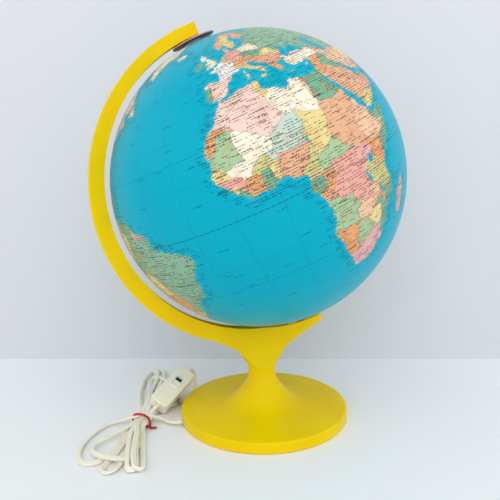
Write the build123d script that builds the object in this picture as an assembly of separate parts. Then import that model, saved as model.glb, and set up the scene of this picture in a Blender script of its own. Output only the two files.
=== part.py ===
"""Illuminated desktop globe on a moulded stand, modelled as it comes apart on a bench.

Millimetres, +Z up. The origin is the centre of the foot's resting face. The meridian
arm lies in the XZ plane, the globe's north pole leans towards -X and the viewer's side is -Y.
"""

from build123d import *
import math
import os

# ---- driving dimensions: the globe and its axis ----
GLOBE_R = 150.0
GLOBE_WALL = 2.0
GLOBE_Z = GLOBE_R + 104.7     # its underside keeps its height above the base
TILT = 23.5
BAND_H = 14.0
BAND_T = 1.5
NORTH_HOLE_R = 6.0
SOUTH_HOLE_R = 16.0
PIN_R = 2.0
PIVOT_R = 4.0
PIVOT_BORE_R = 2.9
RUN_GAP = 0.06          # radial clearance of everything that turns on the axis
END_GAP = 0.3           # axial clearance between stacked turning pieces
DIAL_R = 22.0
DIAL_T = 1.0
BOSS_R = 6.5

# ---- driving dimensions: the meridian arm ----
ARM_W = 14.0
ARM_WALL = 2.2
ARM_GAP = 6.0           # globe surface to the arm's inner edge
ARM_DEPTH = 20.3        # globe surface to the arm's outer circle
ARM_OUT_R = GLOBE_R + ARM_DEPTH
ARM_OUT_X = -0.7
ARM_OUT_DROP = 2.5      # the outer circle's centre sits this far below the globe's
ARM_TIP_PAST = 6.5      # the arm's end stands this far past the pole axis
TONGUE_GAP = 13.5       # globe surface to the tongue at the south pole
NECK_R = 14.5
NECK_FLARE_Z = 50.0
NECK_SLOPE = 29.5       # degrees, of the straight underside beyond the flare
NECK_ROUND_Z = 76.0     # the neck has thinned to the arm's width here
NECK_REACH = 110.0
ARM_EDGE_R = 1.0

# ---- driving dimensions: the base ----
BASE_R = 91.0
BASE_RIM_Z = 11.6
BASE_WALL = 2.2
RIM_ROUND = 2.2
FLARE_WIDTHS = (7.0, 20.0, 38.0)    # how far the trumpet has opened beyond the neck
FLARE_DROP = 13.5                   # and where, below the top or above the rim
FLARE_RISES = (7.0, 2.4)
RIM_SLOPE = -0.06
BOSS_WALL = 2.4
NOTCH_SIDE = 1.5
NOTCH_ABOVE = 0.9
PAD_INSET = 6.0
BASE_TOP_Z = 46.0
RIM_FOOT_Z = 0.6
FELT_T = 1.2
COVER_T = 1.8
COVER_GAP = 0.3
WEB_T = 4.0             # floors that the neck tube bolts together
WEIGHT_T = 5.0
WEIGHT_OUT_R = 78.0
WEIGHT_IN_R = 34.0
WEIGHT_SLOT = 26.0
SCREW_R = 1.7
SCREW_PCD_R = 58.0
SCREW_COUNT = 3
NIPPLE_R = 5.0
NIPPLE_BORE_R = 3.6
NIPPLE_OUT = 12.0       # the neck tube stands this far past each floor
NUT_T = 4.5
NUT_FLATS = 17.0
WASHER_T = 1.2
FIT_GAP = 0.1

# ---- driving dimensions: the lamp and its flex ----
FLEX_R = 2.0
FLEX_TOP_Z = 87.0       # it bends out of the neck here
FLEX_IN_TONGUE = 6.1
FLEX_OVER = 17.0        # and lies level this far before it enters the pivot
HOLDER_R = 13.0
HOLDER_DEEP = 32.0      # globe surface to the lampholder's end
HOLDER_LOW = HOLDER_DEEP - GLOBE_R
BULB_R = 22.0
BULB_UP = 88.0
BULB_Z = HOLDER_LOW + BULB_UP
BULB_CAP_R = 7.0
GLASS_T = 0.8

# ---- driving dimensions: mains cord, switch and plug ----
LAID_OUT_R = 91.0       # foot radius that the places of cord, switch and plug belong to
CORD_D = 5.0
CORD_Z = 5.8            # height of the cord's hole in the rim
SWITCH_L = 60.0
SWITCH_W = 22.0
SWITCH_T = 15.0
SWITCH_WALL = 1.6
POST_IN = 3.6            # the screw posts stand this far in from the switch's side
WINDOW_L = 12.5
WINDOW_W = 8.0
WINDOW_AT = 6.5
BEZEL_WALL = 0.8
BEZEL_RIM = 1.6
BEZEL_RISE = 0.8
SWITCH_CORNER_R = 4.0
SWITCH_EDGE_R = 1.4
SCREW_FROM_END = 8.0
SLIDE_TRAVEL = 5.0
SLIDER_GAP = 0.3
PLUG_L = 35.0
PLUG_W = 26.0
PLUG_T = 14.4
PLUG_PIN_R = 2.0
PLUG_PIN_L = 19.0
PLUG_PIN_PITCH = 19.0

BESIDE_OUT = 1.5 * (BASE_R - LAID_OUT_R)
AXIS_FRAME = Location((0, 0, GLOBE_Z), (0, -TILT, 0))
COVER_TOP = FELT_T + COVER_T
NOTCH_TOP = CORD_Z + CORD_D / 2 + NOTCH_ABOVE
ARM_IN_R = GLOBE_R + ARM_GAP
TONGUE_R = GLOBE_R + TONGUE_GAP


def save(name, shape):
    solids = shape.solids()
    part = solids[0] if len(solids) == 1 else Compound(children=list(solids))
    part.label = name
    os.makedirs("parts", exist_ok=True)
    export_step(part, f"parts/{name}.step")
    print(name, len(solids), round(sum(s.volume for s in solids), 1))
    return shape


def ring(r_out, r_in, low, high):
    """A washer-like ring about Z from low to high."""
    solid = Pos(0, 0, (low + high) / 2) * Cylinder(r_out, high - low)
    return solid - Pos(0, 0, (low + high) / 2) * Cylinder(r_in, high - low + 2)


def rod(r, low, high):
    return Pos(0, 0, (low + high) / 2) * Cylinder(r, high - low)


def hex_nut(flats, bore_r, low, high):
    prism = extrude(RegularPolygon(flats / 2, 6, major_radius=False), high - low)
    return Pos(0, 0, low) * prism - rod(bore_r, low - 1, high + 1)


def turned(points):
    """Revolves a closed outline of (radius, height) points about Z."""
    outline = Plane.XZ * make_face(Polyline(*points, close=True))
    return revolve(outline, Axis.Z)


# ---------------------------------------------------------------- base

def base_section(inset, top, bottom):
    """The foot's trumpet outline, drawn in by inset, as a face against the Z axis."""
    r_top = NECK_R - inset
    r_rim = BASE_R - inset
    rim_z = BASE_RIM_Z - inset
    near, middle, far = (r_top + width for width in FLARE_WIDTHS)
    plate_start = (far, rim_z + FLARE_RISES[1])
    plate_end = (r_rim - RIM_ROUND, rim_z)
    flare = Spline(
        (r_top, top),
        (near, BASE_TOP_Z - FLARE_DROP - inset),
        (middle, rim_z + FLARE_RISES[0]),
        plate_start,
        tangents=[(0.12, -1), (1, RIM_SLOPE)],
    )
    plate = Line(plate_start, plate_end)
    corner = TangentArc(plate_end, (r_rim, rim_z - RIM_ROUND), tangent=(1, RIM_SLOPE))
    rest = Polyline((r_rim, rim_z - RIM_ROUND), (r_rim, bottom), (0, bottom), (0, top), (r_top, top))
    return Plane.XZ * make_face(Curve() + [flare, plate, corner, rest])


def screw_spots():
    return PolarLocations(SCREW_PCD_R, SCREW_COUNT)


def make_base_shell():
    shell = revolve(base_section(0, BASE_TOP_Z, RIM_FOOT_Z), Axis.Z)
    shell -= revolve(base_section(BASE_WALL, BASE_TOP_Z - WEB_T, RIM_FOOT_Z - 5), Axis.Z)
    shell -= rod(NIPPLE_R + FIT_GAP, BASE_TOP_Z - WEB_T - 1, BASE_TOP_Z + 1)
    boss_low = COVER_TOP + WEIGHT_T
    bosses = [spot * rod(SCREW_R + BOSS_WALL, boss_low, BASE_RIM_Z + 0.5) for spot in screw_spots()]
    shell = shell.fuse(*bosses)
    for spot in screw_spots():
        shell -= spot * rod(SCREW_R, boss_low - 1, BASE_RIM_Z - 0.6)
    notch = Box(4 * BASE_WALL, CORD_D + 2 * NOTCH_SIDE, NOTCH_TOP - RIM_FOOT_Z + 2)
    return shell - Pos(-BASE_R, 0, (NOTCH_TOP + RIM_FOOT_Z - 2) / 2) * notch


def make_cover():
    cover = rod(BASE_R - BASE_WALL - COVER_GAP, FELT_T, COVER_TOP)
    for spot in screw_spots():
        cover -= spot * Pos(0, 0, FELT_T + COVER_T / 2) * Cone(
            SCREW_R * 2, SCREW_R, COVER_T
        )
    return cover


def make_screws():
    """Three countersunk screws, from under the cover up into the shell's bosses."""
    top = BASE_RIM_Z - 0.6
    head = Pos(0, 0, FELT_T + COVER_T / 2) * Cone(SCREW_R * 2, SCREW_R, COVER_T)
    slot = Pos(0, 0, FELT_T) * Box(SCREW_R * 3, 0.8, 1.2)
    screw = (head + rod(SCREW_R, COVER_TOP - 0.01, top)) - slot
    return Compound(children=[spot * screw for spot in screw_spots()])


def make_weight():
    weight = ring(WEIGHT_OUT_R, WEIGHT_IN_R, COVER_TOP, COVER_TOP + WEIGHT_T)
    weight -= Pos(-WEIGHT_OUT_R / 2 - 10, 0, COVER_TOP + WEIGHT_T / 2) * Box(
        WEIGHT_OUT_R, WEIGHT_SLOT, WEIGHT_T + 2
    )
    for spot in screw_spots():
        weight -= spot * rod(SCREW_R + 0.6, COVER_TOP - 1, COVER_TOP + WEIGHT_T + 1)
    return weight


def make_grommet(shell, cover):
    """A rubber block that plugs the rim's notch and grips the cord."""
    depth = 2 * BASE_WALL
    x = -BASE_R + depth / 2 - 0.5
    width = CORD_D + 2 * NOTCH_SIDE
    block = Pos(x, 0, (RIM_FOOT_Z + NOTCH_TOP) / 2) * Box(depth + 1, width, NOTCH_TOP - RIM_FOOT_Z)
    inner = Pos(-BASE_R + BASE_WALL + 1.2, 0, (COVER_TOP + NOTCH_TOP) / 2) * Box(
        2.0, width + 2 * NOTCH_SIDE, NOTCH_TOP - COVER_TOP
    )
    hole = Pos(-BASE_R, 0, CORD_Z) * Rot(0, 90, 0) * Cylinder(CORD_D / 2, 30)
    return (block + inner) - hole - shell - cover


CLAMP_X = -60.0
CLAMP_TOP = COVER_TOP + 2 * FLEX_R + 1.8


def make_clamp():
    clamp = Pos(CLAMP_X, 0, (COVER_TOP + CLAMP_TOP) / 2) * Box(8, 20, CLAMP_TOP - COVER_TOP)
    groove = Pos(CLAMP_X, 0, COVER_TOP + FLEX_R) * Rot(0, 90, 0) * Cylinder(FLEX_R, 10)
    below = Pos(CLAMP_X, 0, COVER_TOP + FLEX_R / 2) * Box(10, 2 * FLEX_R, FLEX_R)
    clamp = clamp - groove - below
    for side in (-1, 1):
        clamp -= Pos(CLAMP_X, side * 7, 0) * rod(1.4, 0, CLAMP_TOP + 1)
    return clamp


def make_clamp_screws():
    screw = rod(1.4, COVER_TOP, CLAMP_TOP) + rod(2.6, CLAMP_TOP, CLAMP_TOP + 1.4)
    screw -= Pos(0, 0, CLAMP_TOP + 1.4) * Box(4, 0.7, 1.2)
    return Compound(children=[Pos(CLAMP_X, side * 7, 0) * screw for side in (-1, 1)])


# ---------------------------------------------------------------- neck joint

TUBE_LOW = BASE_TOP_Z - WEB_T - NIPPLE_OUT
TUBE_HIGH = BASE_TOP_Z + WEB_T + NIPPLE_OUT


def make_neck_washers():
    low = ring(NIPPLE_R + 5.0, NIPPLE_R + FIT_GAP, BASE_TOP_Z - WEB_T - WASHER_T, BASE_TOP_Z - WEB_T)
    high = ring(NIPPLE_R + 5.0, NIPPLE_R + FIT_GAP, BASE_TOP_Z + WEB_T, BASE_TOP_Z + WEB_T + WASHER_T)
    return Compound(children=[low, high])


def make_neck_nuts():
    low_top = BASE_TOP_Z - WEB_T - WASHER_T
    high_low = BASE_TOP_Z + WEB_T + WASHER_T
    low = hex_nut(NUT_FLATS, NIPPLE_R, low_top - NUT_T, low_top)
    high = hex_nut(NUT_FLATS, NIPPLE_R, high_low, high_low + NUT_T)
    return Compound(children=[low, high])


# ---------------------------------------------------------------- arm

FLARE_X = NECK_R + 20.3
FLARE_Z = NECK_FLARE_Z + 29.8
SLOPE = math.radians(NECK_SLOPE)


def underside_z(x):
    """Height of the arm's straight underside at a distance x from the neck's axis."""
    return FLARE_Z + (x - FLARE_X) * math.tan(SLOPE)


def neck_flare(inset):
    """The round trumpet that grows from the neck into the arm."""
    reach = NECK_REACH
    bottom = BASE_TOP_Z - 20
    rise = inset / math.cos(SLOPE)
    flare = Spline(
        (NECK_R - inset, NECK_FLARE_Z),
        (NECK_R + 5.5 - inset, NECK_FLARE_Z + 14.3 + 0.4 * inset),
        (FLARE_X, FLARE_Z + rise),
        tangents=[(0, 1), (math.cos(SLOPE), math.sin(SLOPE))],
    )
    top = GLOBE_Z
    rest = Polyline(
        (FLARE_X, FLARE_Z + rise),
        (reach, underside_z(reach) + rise),
        (reach, top),
        (0, top),
        (0, bottom),
        (NECK_R - inset, bottom),
        (NECK_R - inset, NECK_FLARE_Z),
    )
    return revolve(Plane.XZ * make_face(Curve() + [flare, rest]), Axis.Z)


def neck_slab(inset):
    """Side view from +X: as wide as the neck below, thinned to the arm's width above."""
    bottom = BASE_TOP_Z - 20
    wide = NECK_R + 1 - inset
    slim = ARM_W / 2 - inset
    low = NECK_FLARE_Z + 2.0
    right = Spline(
        (wide, low), (slim, NECK_ROUND_Z), tangents=[(-0.25, 1), (0, 1)]
    )
    left = Spline(
        (-slim, NECK_ROUND_Z), (-wide, low), tangents=[(0, -1), (-0.25, -1)]
    )
    top = Polyline((slim, NECK_ROUND_Z), (slim, GLOBE_Z), (-slim, GLOBE_Z), (-slim, NECK_ROUND_Z))
    foot = Polyline((-wide, low), (-wide, bottom), (wide, bottom), (wide, low))
    face = make_face(Curve() + [right, top, left, foot])
    return extrude(Plane.YZ * face, 120, both=True)


def arm_ring(inset, width):
    """The flat-sided bow beside the globe, from past the north pole down to the neck."""
    outer = Pos(ARM_OUT_X, GLOBE_Z - ARM_OUT_DROP) * Circle(ARM_OUT_R - inset)
    tip = math.radians(90 + TILT) - ARM_TIP_PAST / (ARM_OUT_R - 5)
    far = 400.0
    tip_point = (far * math.cos(tip), GLOBE_Z + far * math.sin(tip))
    sector = make_face(
        Polyline(
            (0, GLOBE_Z), tip_point, (-far, GLOBE_Z + far), (-far, -far), (12, -far), (12, GLOBE_Z),
            close=True,
        )
    )
    return extrude(Plane.XZ * (outer & sector), width / 2, both=True)


def globe_room():
    """Everything that the arm's inner edge keeps clear of."""
    main = Pos(0, GLOBE_Z) * Circle(ARM_IN_R)
    drop_r = ARM_IN_R - 8.3
    drop = Pos(19.3, GLOBE_Z - 9.5) * Circle(drop_r)
    return extrude(Plane.XZ * (main + drop), 60, both=True)


def beyond_nose():
    """What is cut off round the tongue's end, a half circle about the pole axis."""
    block = Pos(60, 0, -TONGUE_R) * Box(120, 80, 60)
    return AXIS_FRAME * (block - rod(ARM_W / 2, -TONGUE_R - 50, -TONGUE_R + 50))


def neck_above(inset, low):
    """The neck's solid, or its hollow drawn in by inset, from the height low upwards."""
    kept = Pos(0, 0, low + GLOBE_Z) * Box(4 * GLOBE_R, 4 * GLOBE_R, 2 * GLOBE_Z)
    return neck_flare(inset) & neck_slab(inset) & kept


def rounded_bow():
    """The bow with its two long outer edges softened, before it joins the neck."""
    bow = arm_ring(0, ARM_W)
    long_edges = [edge for edge in bow.edges().filter_by(GeomType.CIRCLE) if edge.length > ARM_OUT_R]
    return fillet(long_edges, min(ARM_EDGE_R, ARM_WALL / 2))


def make_arm():
    body = neck_above(0, BASE_TOP_Z) + rounded_bow()
    body = body - globe_room() - beyond_nose()
    hollow = neck_above(ARM_WALL, BASE_TOP_Z + WEB_T)
    hollow += arm_ring(ARM_WALL, ARM_W - 2 * ARM_WALL)
    tip_block = AXIS_FRAME * Pos(0, 0, ARM_IN_R) * Box(24, 2 * ARM_W, 60)
    tongue_block = AXIS_FRAME * Pos(0, 0, -TONGUE_R) * Box(28, 2 * ARM_W, 60)
    body -= hollow - tip_block - tongue_block
    body -= rod(NIPPLE_R + FIT_GAP, BASE_TOP_Z - 1, BASE_TOP_Z + WEB_T + 1)
    body -= AXIS_FRAME * rod(PIN_R, GLOBE_R, ARM_IN_R + 8.0)
    body -= AXIS_FRAME * rod(PIVOT_R, -TONGUE_R - 30, -GLOBE_R)
    return body


# ---------------------------------------------------------------- globe

def half_shell(north):
    shell = Sphere(GLOBE_R) - Sphere(GLOBE_R - GLOBE_WALL)
    side = 1 if north else -1
    half = Pos(0, 0, side * GLOBE_R) * Box(3 * GLOBE_R, 3 * GLOBE_R, 2 * GLOBE_R)
    hole_r = NORTH_HOLE_R if north else SOUTH_HOLE_R
    hole = Pos(0, 0, side * GLOBE_R) * Cylinder(hole_r, GLOBE_R)
    return (shell & half) - hole


NORTH_FLANGE_TOP = GLOBE_R + 1.8
SOUTH_FLANGE_LOW = -GLOBE_R - 1.3


def make_north_bush(shell):
    hub = rod(NORTH_HOLE_R, GLOBE_R - 6, GLOBE_R)
    snap = rod(NORTH_HOLE_R + 1.0, GLOBE_R - 6, GLOBE_R - 3)
    flange = rod(NORTH_HOLE_R + 3.0, GLOBE_R - 1.0, NORTH_FLANGE_TOP)
    bush = (hub + snap + flange) - Sphere(GLOBE_R) + (hub & Sphere(GLOBE_R)) + snap
    return bush - shell - rod(PIN_R + RUN_GAP, 0, 2 * GLOBE_R)


def make_south_bush(shell):
    hub = rod(SOUTH_HOLE_R, -GLOBE_R, -GLOBE_R + 7)
    flange = rod(SOUTH_HOLE_R + 3.0, SOUTH_FLANGE_LOW, -GLOBE_R + 2.5) - Sphere(GLOBE_R)
    cup = rod(SOUTH_HOLE_R - 2, -GLOBE_R + 3, -GLOBE_R + 8)
    bush = (hub + flange) - cup + rod(PIVOT_R + 3, SOUTH_FLANGE_LOW, -GLOBE_R + 9)
    return bush - shell - rod(PIVOT_R + RUN_GAP, -2 * GLOBE_R, 0)


def make_band():
    inner = GLOBE_R - GLOBE_WALL
    core = Sphere(inner) - Sphere(inner - BAND_T)
    return core & Box(3 * GLOBE_R, 3 * GLOBE_R, BAND_H)


# ---------------------------------------------------------------- axis pieces

DIAL_LOW = NORTH_FLANGE_TOP + END_GAP
DIAL_HIGH = DIAL_LOW + DIAL_T


def make_boss():
    """The small cone that keeps the dial off the arm."""
    low = DIAL_HIGH + END_GAP
    high = ARM_IN_R + 6
    cone = Pos(0, 0, (low + high) / 2) * Cone(BOSS_R - 1.0, BOSS_R + 1.0, high - low)
    return (AXIS_FRAME * (cone - rod(PIN_R, 0, 2 * GLOBE_R))) & globe_room()


NUT_HIGH = -TONGUE_R + 3.6
COLLAR_HIGH = SOUTH_FLANGE_LOW - 0.2
COLLAR_LOW = COLLAR_HIGH - 2.0
HOLDER_FLOOR = HOLDER_LOW + 6.0


def make_pivot():
    tube = ring(PIVOT_R, PIVOT_BORE_R, -TONGUE_R - 5.2, HOLDER_FLOOR)
    slot_high = COLLAR_LOW - 0.1
    slot_low = NUT_HIGH + 0.2
    slot = Pos(-5, 0, (slot_low + slot_high) / 2) * Box(10, 2 * FLEX_R + 0.8, slot_high - slot_low)
    return AXIS_FRAME * (tube - slot)


def make_pivot_nut(arm):
    nut = hex_nut(11.0, PIVOT_R, -TONGUE_R - 0.4, NUT_HIGH)
    return AXIS_FRAME * nut - arm


# ---------------------------------------------------------------- lamp

SLEEVE_LOW = HOLDER_LOW + 14.0
SLEEVE_HIGH = SLEEVE_LOW + 30.0
INSERT_HIGH = SLEEVE_LOW + 8.0


def make_holder_base():
    base = rod(HOLDER_R, HOLDER_LOW, SLEEVE_LOW) - rod(HOLDER_R - 3, HOLDER_FLOOR, SLEEVE_LOW + 1)
    return base - rod(PIVOT_R, HOLDER_LOW - 1, HOLDER_FLOOR + 1)


def make_holder_sleeve():
    sleeve = ring(HOLDER_R, HOLDER_R - 2, SLEEVE_LOW, SLEEVE_HIGH)
    return sleeve + ring(HOLDER_R, BULB_CAP_R + 1, SLEEVE_HIGH - 2, SLEEVE_HIGH)


def make_holder_insert():
    insert = rod(HOLDER_R - 2, SLEEVE_LOW, INSERT_HIGH)
    return insert - rod(2.0, INSERT_HIGH - 1.5, INSERT_HIGH + 1)


CAP_LOW = INSERT_HIGH + 1.0
CAP_HIGH = CAP_LOW + 24.0


def make_bulb_cap():
    cap = rod(BULB_CAP_R, CAP_LOW, CAP_HIGH) - rod(BULB_CAP_R - GLASS_T, CAP_LOW + 2, CAP_HIGH + 1)
    return cap + rod(2.0, INSERT_HIGH - 1.5, CAP_LOW)


def bulb_solid(inset):
    neck_r = BULB_CAP_R - GLASS_T - inset
    ball = Pos(0, 0, BULB_Z) * Sphere(BULB_R - inset)
    neck = rod(neck_r, CAP_HIGH - 6, CAP_HIGH + 4)
    flare_high = BULB_Z - 9
    flare_r = math.sqrt((BULB_R - inset) ** 2 - 81)
    flare = Pos(0, 0, (CAP_HIGH + 4 + flare_high) / 2) * Cone(
        neck_r, flare_r, flare_high - CAP_HIGH - 4
    )
    return ball + neck + flare


def make_bulb_glass():
    opening = rod(BULB_CAP_R - 2 * GLASS_T, CAP_HIGH - 10, CAP_HIGH)
    return bulb_solid(0) - bulb_solid(GLASS_T) - opening


def make_inner_flex():
    """The lamp's flex, from the rim, under the clamp and up through neck, arm and pivot."""
    run_z = COVER_TOP + FLEX_R
    enter = -TONGUE_R + FLEX_IN_TONGUE
    up = AXIS_FRAME * Pos(0, 0, SLEEVE_LOW)
    corner = AXIS_FRAME * Pos(0, 0, enter)
    over = AXIS_FRAME * Pos(-FLEX_OVER, 0, enter - 0.3)
    turn_x = over.position.X - FLEX_OVER - 4.3
    points = [
        (-BASE_R - 0.5, 0, CORD_Z),
        (-BASE_R + 15.0, 0, run_z),
        (0, 0, run_z),
        (0, 0, FLEX_TOP_Z),
        (turn_x, 0, FLEX_TOP_Z + 4.0),
        tuple(over.position),
        tuple(corner.position),
        tuple(up.position),
    ]
    path = FilletPolyline(*points, radius=[30, 14, 11, 14, 14, 6])
    start = Plane(origin=path @ 0, z_dir=path % 0)
    return sweep(start * Circle(FLEX_R), path=path)


# ---------------------------------------------------------------- switch

SWITCH_HEAD = math.radians(39.6)
SWITCH_RISE = math.radians(17.8)
SWITCH_ROLL = math.radians(-32.2)
SWITCH_U = Vector(
    math.cos(SWITCH_HEAD) * math.cos(SWITCH_RISE),
    math.sin(SWITCH_HEAD) * math.cos(SWITCH_RISE),
    math.sin(SWITCH_RISE),
)
SWITCH_LEVEL = Vector(math.sin(SWITCH_HEAD), -math.cos(SWITCH_HEAD), 0)
SWITCH_N = SWITCH_LEVEL.cross(SWITCH_U) * math.cos(SWITCH_ROLL) - SWITCH_LEVEL * math.sin(SWITCH_ROLL)
SWITCH_UNDER = Vector(-89.9, 48.2, 27.5) - SWITCH_N * 15.0     # middle of its underside
SWITCH_AT = SWITCH_UNDER + SWITCH_N * SWITCH_T
SWITCH_PLANE = Plane(origin=SWITCH_AT, x_dir=SWITCH_U, z_dir=SWITCH_N)
SPLIT_Z = -SWITCH_T + 6.5                   # seam between the two shells, below the top face
CORD_SLOT = CORD_D / 2 + 0.1


def in_switch(shape):
    return SWITCH_PLANE.location * shape


def beside_foot(shape):
    """Places what lies beside the foot; it is laid out in the places for LAID_OUT_R."""
    return Pos(-BESIDE_OUT, 0, 0) * shape


def switch_block():
    block = Pos(0, 0, -SWITCH_T / 2) * Box(SWITCH_L, SWITCH_W, SWITCH_T)
    block = fillet(block.edges().filter_by(Axis.Z), SWITCH_CORNER_R)
    faces = block.faces().sort_by(Axis.Z)
    return fillet(faces[0].edges() + faces[-1].edges(), SWITCH_EDGE_R)


def switch_hollow():
    hollow = Pos(0, 0, -SWITCH_T / 2) * Box(
        SWITCH_L - 2 * SWITCH_WALL, SWITCH_W - 2 * SWITCH_WALL, SWITCH_T - 2 * SWITCH_WALL
    )
    return fillet(hollow.edges().filter_by(Axis.Z), SWITCH_CORNER_R - SWITCH_WALL)


def cord_way():
    return Pos(0, 0, -SWITCH_T / 2) * Rot(0, 90, 0) * Cylinder(CORD_SLOT, SWITCH_L + 10)


def make_switch_half(upper):
    half = Pos(0, 0, SPLIT_Z + 20 if upper else SPLIT_Z - 20) * Box(100, 60, 40)
    shell = (switch_block() - switch_hollow()) & half
    post_r = 2.6
    for x in (-SWITCH_L / 2 + SCREW_FROM_END, SWITCH_L / 2 - SCREW_FROM_END):
        post = Pos(x, SWITCH_W / 2 - POST_IN, 0) * rod(post_r, -SWITCH_T + 0.8, -0.8)
        shell += post & half
    if upper:
        shell -= Pos(WINDOW_AT, 0, 0) * Box(
            WINDOW_L + 2 * BEZEL_WALL, WINDOW_W + 2 * BEZEL_WALL, 4 * SWITCH_WALL
        )
    for x in (-SWITCH_L / 2 + SCREW_FROM_END, SWITCH_L / 2 - SCREW_FROM_END):
        spot = Pos(x, SWITCH_W / 2 - POST_IN, 0)
        shell -= spot * rod(1.2, -SWITCH_T - 1, -3.0)
        if not upper:
            shell -= spot * rod(2.1, -SWITCH_T - 1, -SWITCH_T + 2.0)
    return shell - cord_way()


def make_bezel():
    """The raised frame that lines the slider's window."""
    collar = Pos(0, 0, -SWITCH_WALL / 2) * Box(
        WINDOW_L + 2 * BEZEL_WALL, WINDOW_W + 2 * BEZEL_WALL, SWITCH_WALL
    )
    rim = Pos(0, 0, BEZEL_RISE / 2) * Box(
        WINDOW_L + 2 * BEZEL_WALL + 2 * BEZEL_RIM, WINDOW_W + 2 * BEZEL_WALL + 2 * BEZEL_RIM, BEZEL_RISE
    )
    rim = fillet(rim.edges().filter_by(Axis.Z), 1.2)
    rim = chamfer(rim.faces().sort_by(Axis.Z)[-1].edges(), 0.3)
    return Pos(WINDOW_AT, 0, 0) * (collar + rim - Box(WINDOW_L, WINDOW_W, 20))


def make_switch_screws():
    low = -SWITCH_T + 0.4
    screw = rod(2.1, low, -SWITCH_T + 2.0) + rod(1.2, low, -3.0)
    screw -= Pos(0, 0, low) * Box(5, 0.7, 1.4)
    y = SWITCH_W / 2 - POST_IN
    return Compound(children=[Pos(side * (SWITCH_L / 2 - SCREW_FROM_END), y, 0) * screw for side in (-1, 1)])


def make_slider():
    """The knob in the window, on a plate that runs under the top wall."""
    knob_l = WINDOW_L - SLIDE_TRAVEL - 2 * SLIDER_GAP
    x = WINDOW_AT - WINDOW_L / 2 + SLIDER_GAP + knob_l / 2
    knob = Pos(x, 0, -1.1) * Box(knob_l, WINDOW_W - 2 * SLIDER_GAP, 2.2)
    plate_z = -SWITCH_WALL - SLIDER_GAP - 0.6
    plate = Pos(WINDOW_AT - SLIDE_TRAVEL / 2, 0, plate_z) * Box(WINDOW_L + 4, WINDOW_W + 3, 1.2)
    return knob + plate


def make_switch_contacts():
    """Two brass strips in the lower half that the slider bridges."""
    low = -SWITCH_T + SWITCH_WALL
    strip = Pos(0, -SWITCH_W / 2 + SWITCH_WALL + 1.6, low + 2.0) * Box(14, 0.8, 4.0)
    return Compound(children=[Pos(x, 0, 0) * strip for x in (-9, 9)])


# ---------------------------------------------------------------- plug

PLUG_TIP = Vector(-92.0, 64.5, 7.3)         # middle of the front face between the pins
PLUG_DIR = Vector(-0.20, -0.98, 0).normalized()
PLUG_SIDE = PLUG_DIR.cross(Vector(0, 0, 1)).normalized()
PLUG_PLANE = Plane(origin=PLUG_TIP, x_dir=PLUG_DIR, z_dir=PLUG_SIDE.cross(PLUG_DIR))


def make_plug_body():
    outline = make_face(
        Polyline(
            (0, -PLUG_W / 2), (0, PLUG_W / 2), (-PLUG_L * 0.55, PLUG_W / 2), (-PLUG_L, 6),
            (-PLUG_L, -6), (-PLUG_L * 0.55, -PLUG_W / 2), close=True,
        )
    )
    body = Pos(0, 0, -PLUG_T / 2) * extrude(outline, PLUG_T)
    body = fillet(body.edges(), 2.0)
    for side in (-1, 1):
        body -= Pos(0, side * PLUG_PIN_PITCH / 2, 0) * Rot(0, 90, 0) * Cylinder(PLUG_PIN_R, 16)
    body -= Pos(-PLUG_L, 0, 0) * Rot(0, 90, 0) * Cylinder(CORD_D / 2, 12)
    return PLUG_PLANE.location * body


def make_plug_pins():
    pins = []
    for side in (-1, 1):
        pin = Rot(0, 90, 0) * Cylinder(PLUG_PIN_R, PLUG_PIN_L + 8)
        pin = Pos((PLUG_PIN_L - 8) / 2, side * PLUG_PIN_PITCH / 2, 0) * pin
        tip = pin.faces().sort_by(Axis.X)[-1]
        pins.append(PLUG_PLANE.location * fillet(tip.edges(), 1.0))
    return Compound(children=pins)


# ---------------------------------------------------------------- mains cord

TIE_AT = (-133.5, 15.0)     # middle of the tied bundle
TIE_TURN = 50.0             # the strands run this way through the tie
WAIST_L = 16.0
WAIST_W = 19.0
WAIST_LOW = 2.2
WAIST_HIGH = 13.4
TIE_T = 1.8
TIE_GAP = 0.2

SWITCH_LOW_END = SWITCH_AT - SWITCH_U * (SWITCH_L / 2) - SWITCH_N * (SWITCH_T / 2)
SWITCH_HIGH_END = SWITCH_AT + SWITCH_U * (SWITCH_L / 2) - SWITCH_N * (SWITCH_T / 2)
PLUG_REAR = PLUG_TIP - PLUG_DIR * (PLUG_L - 6)

# Out of the rim's grommet, on to the floor and round to the tied bundle.
LEAD_ROUTE = [
    (BESIDE_OUT - BASE_R - 1.0, 0, CORD_Z),
    (-98.5, 0.5, 5.4),
    (-105.0, 6.0, 4.0),
    (-109.5, 14.0, 3.6),
    (-117.0, 18.5, 4.4),
    (-126.0, 18.0, 6.0),
]

# Out of the bundle and up into the switch's lower end.
SWITCH_ROUTE = [
    tuple(SWITCH_LOW_END),
    tuple(SWITCH_LOW_END - SWITCH_U * 7),
    (-125.0, 23.0, 8.6),
]

# Out of the switch's upper end, folded back under the switch and into the bundle.
ARC_ROUTE = [
    tuple(SWITCH_HIGH_END),
    tuple(SWITCH_HIGH_END + SWITCH_U * 7),
    (-58.5, 83.0, 25.5),
    (-57.5, 80.0, 14.5),
    (-61.5, 72.5, 6.0),
    (-70.0, 64.5, 3.0),
    (-81.5, 57.0, 2.6),
    (-94.5, 51.5, 2.6),
    (-108.0, 46.5, 2.8),
    (-118.5, 38.5, 3.3),
    (-125.5, 29.0, 4.2),
]

# Out of the upper fan of loops and into the plug.
TAIL_ROUTE = [
    (-97.0, 134.0, 4.2),
    (-89.0, 122.0, 4.6),
    (-84.5, 110.0, 5.6),
    tuple(PLUG_REAR - PLUG_DIR * 8),
    tuple(PLUG_REAR),
]


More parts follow.
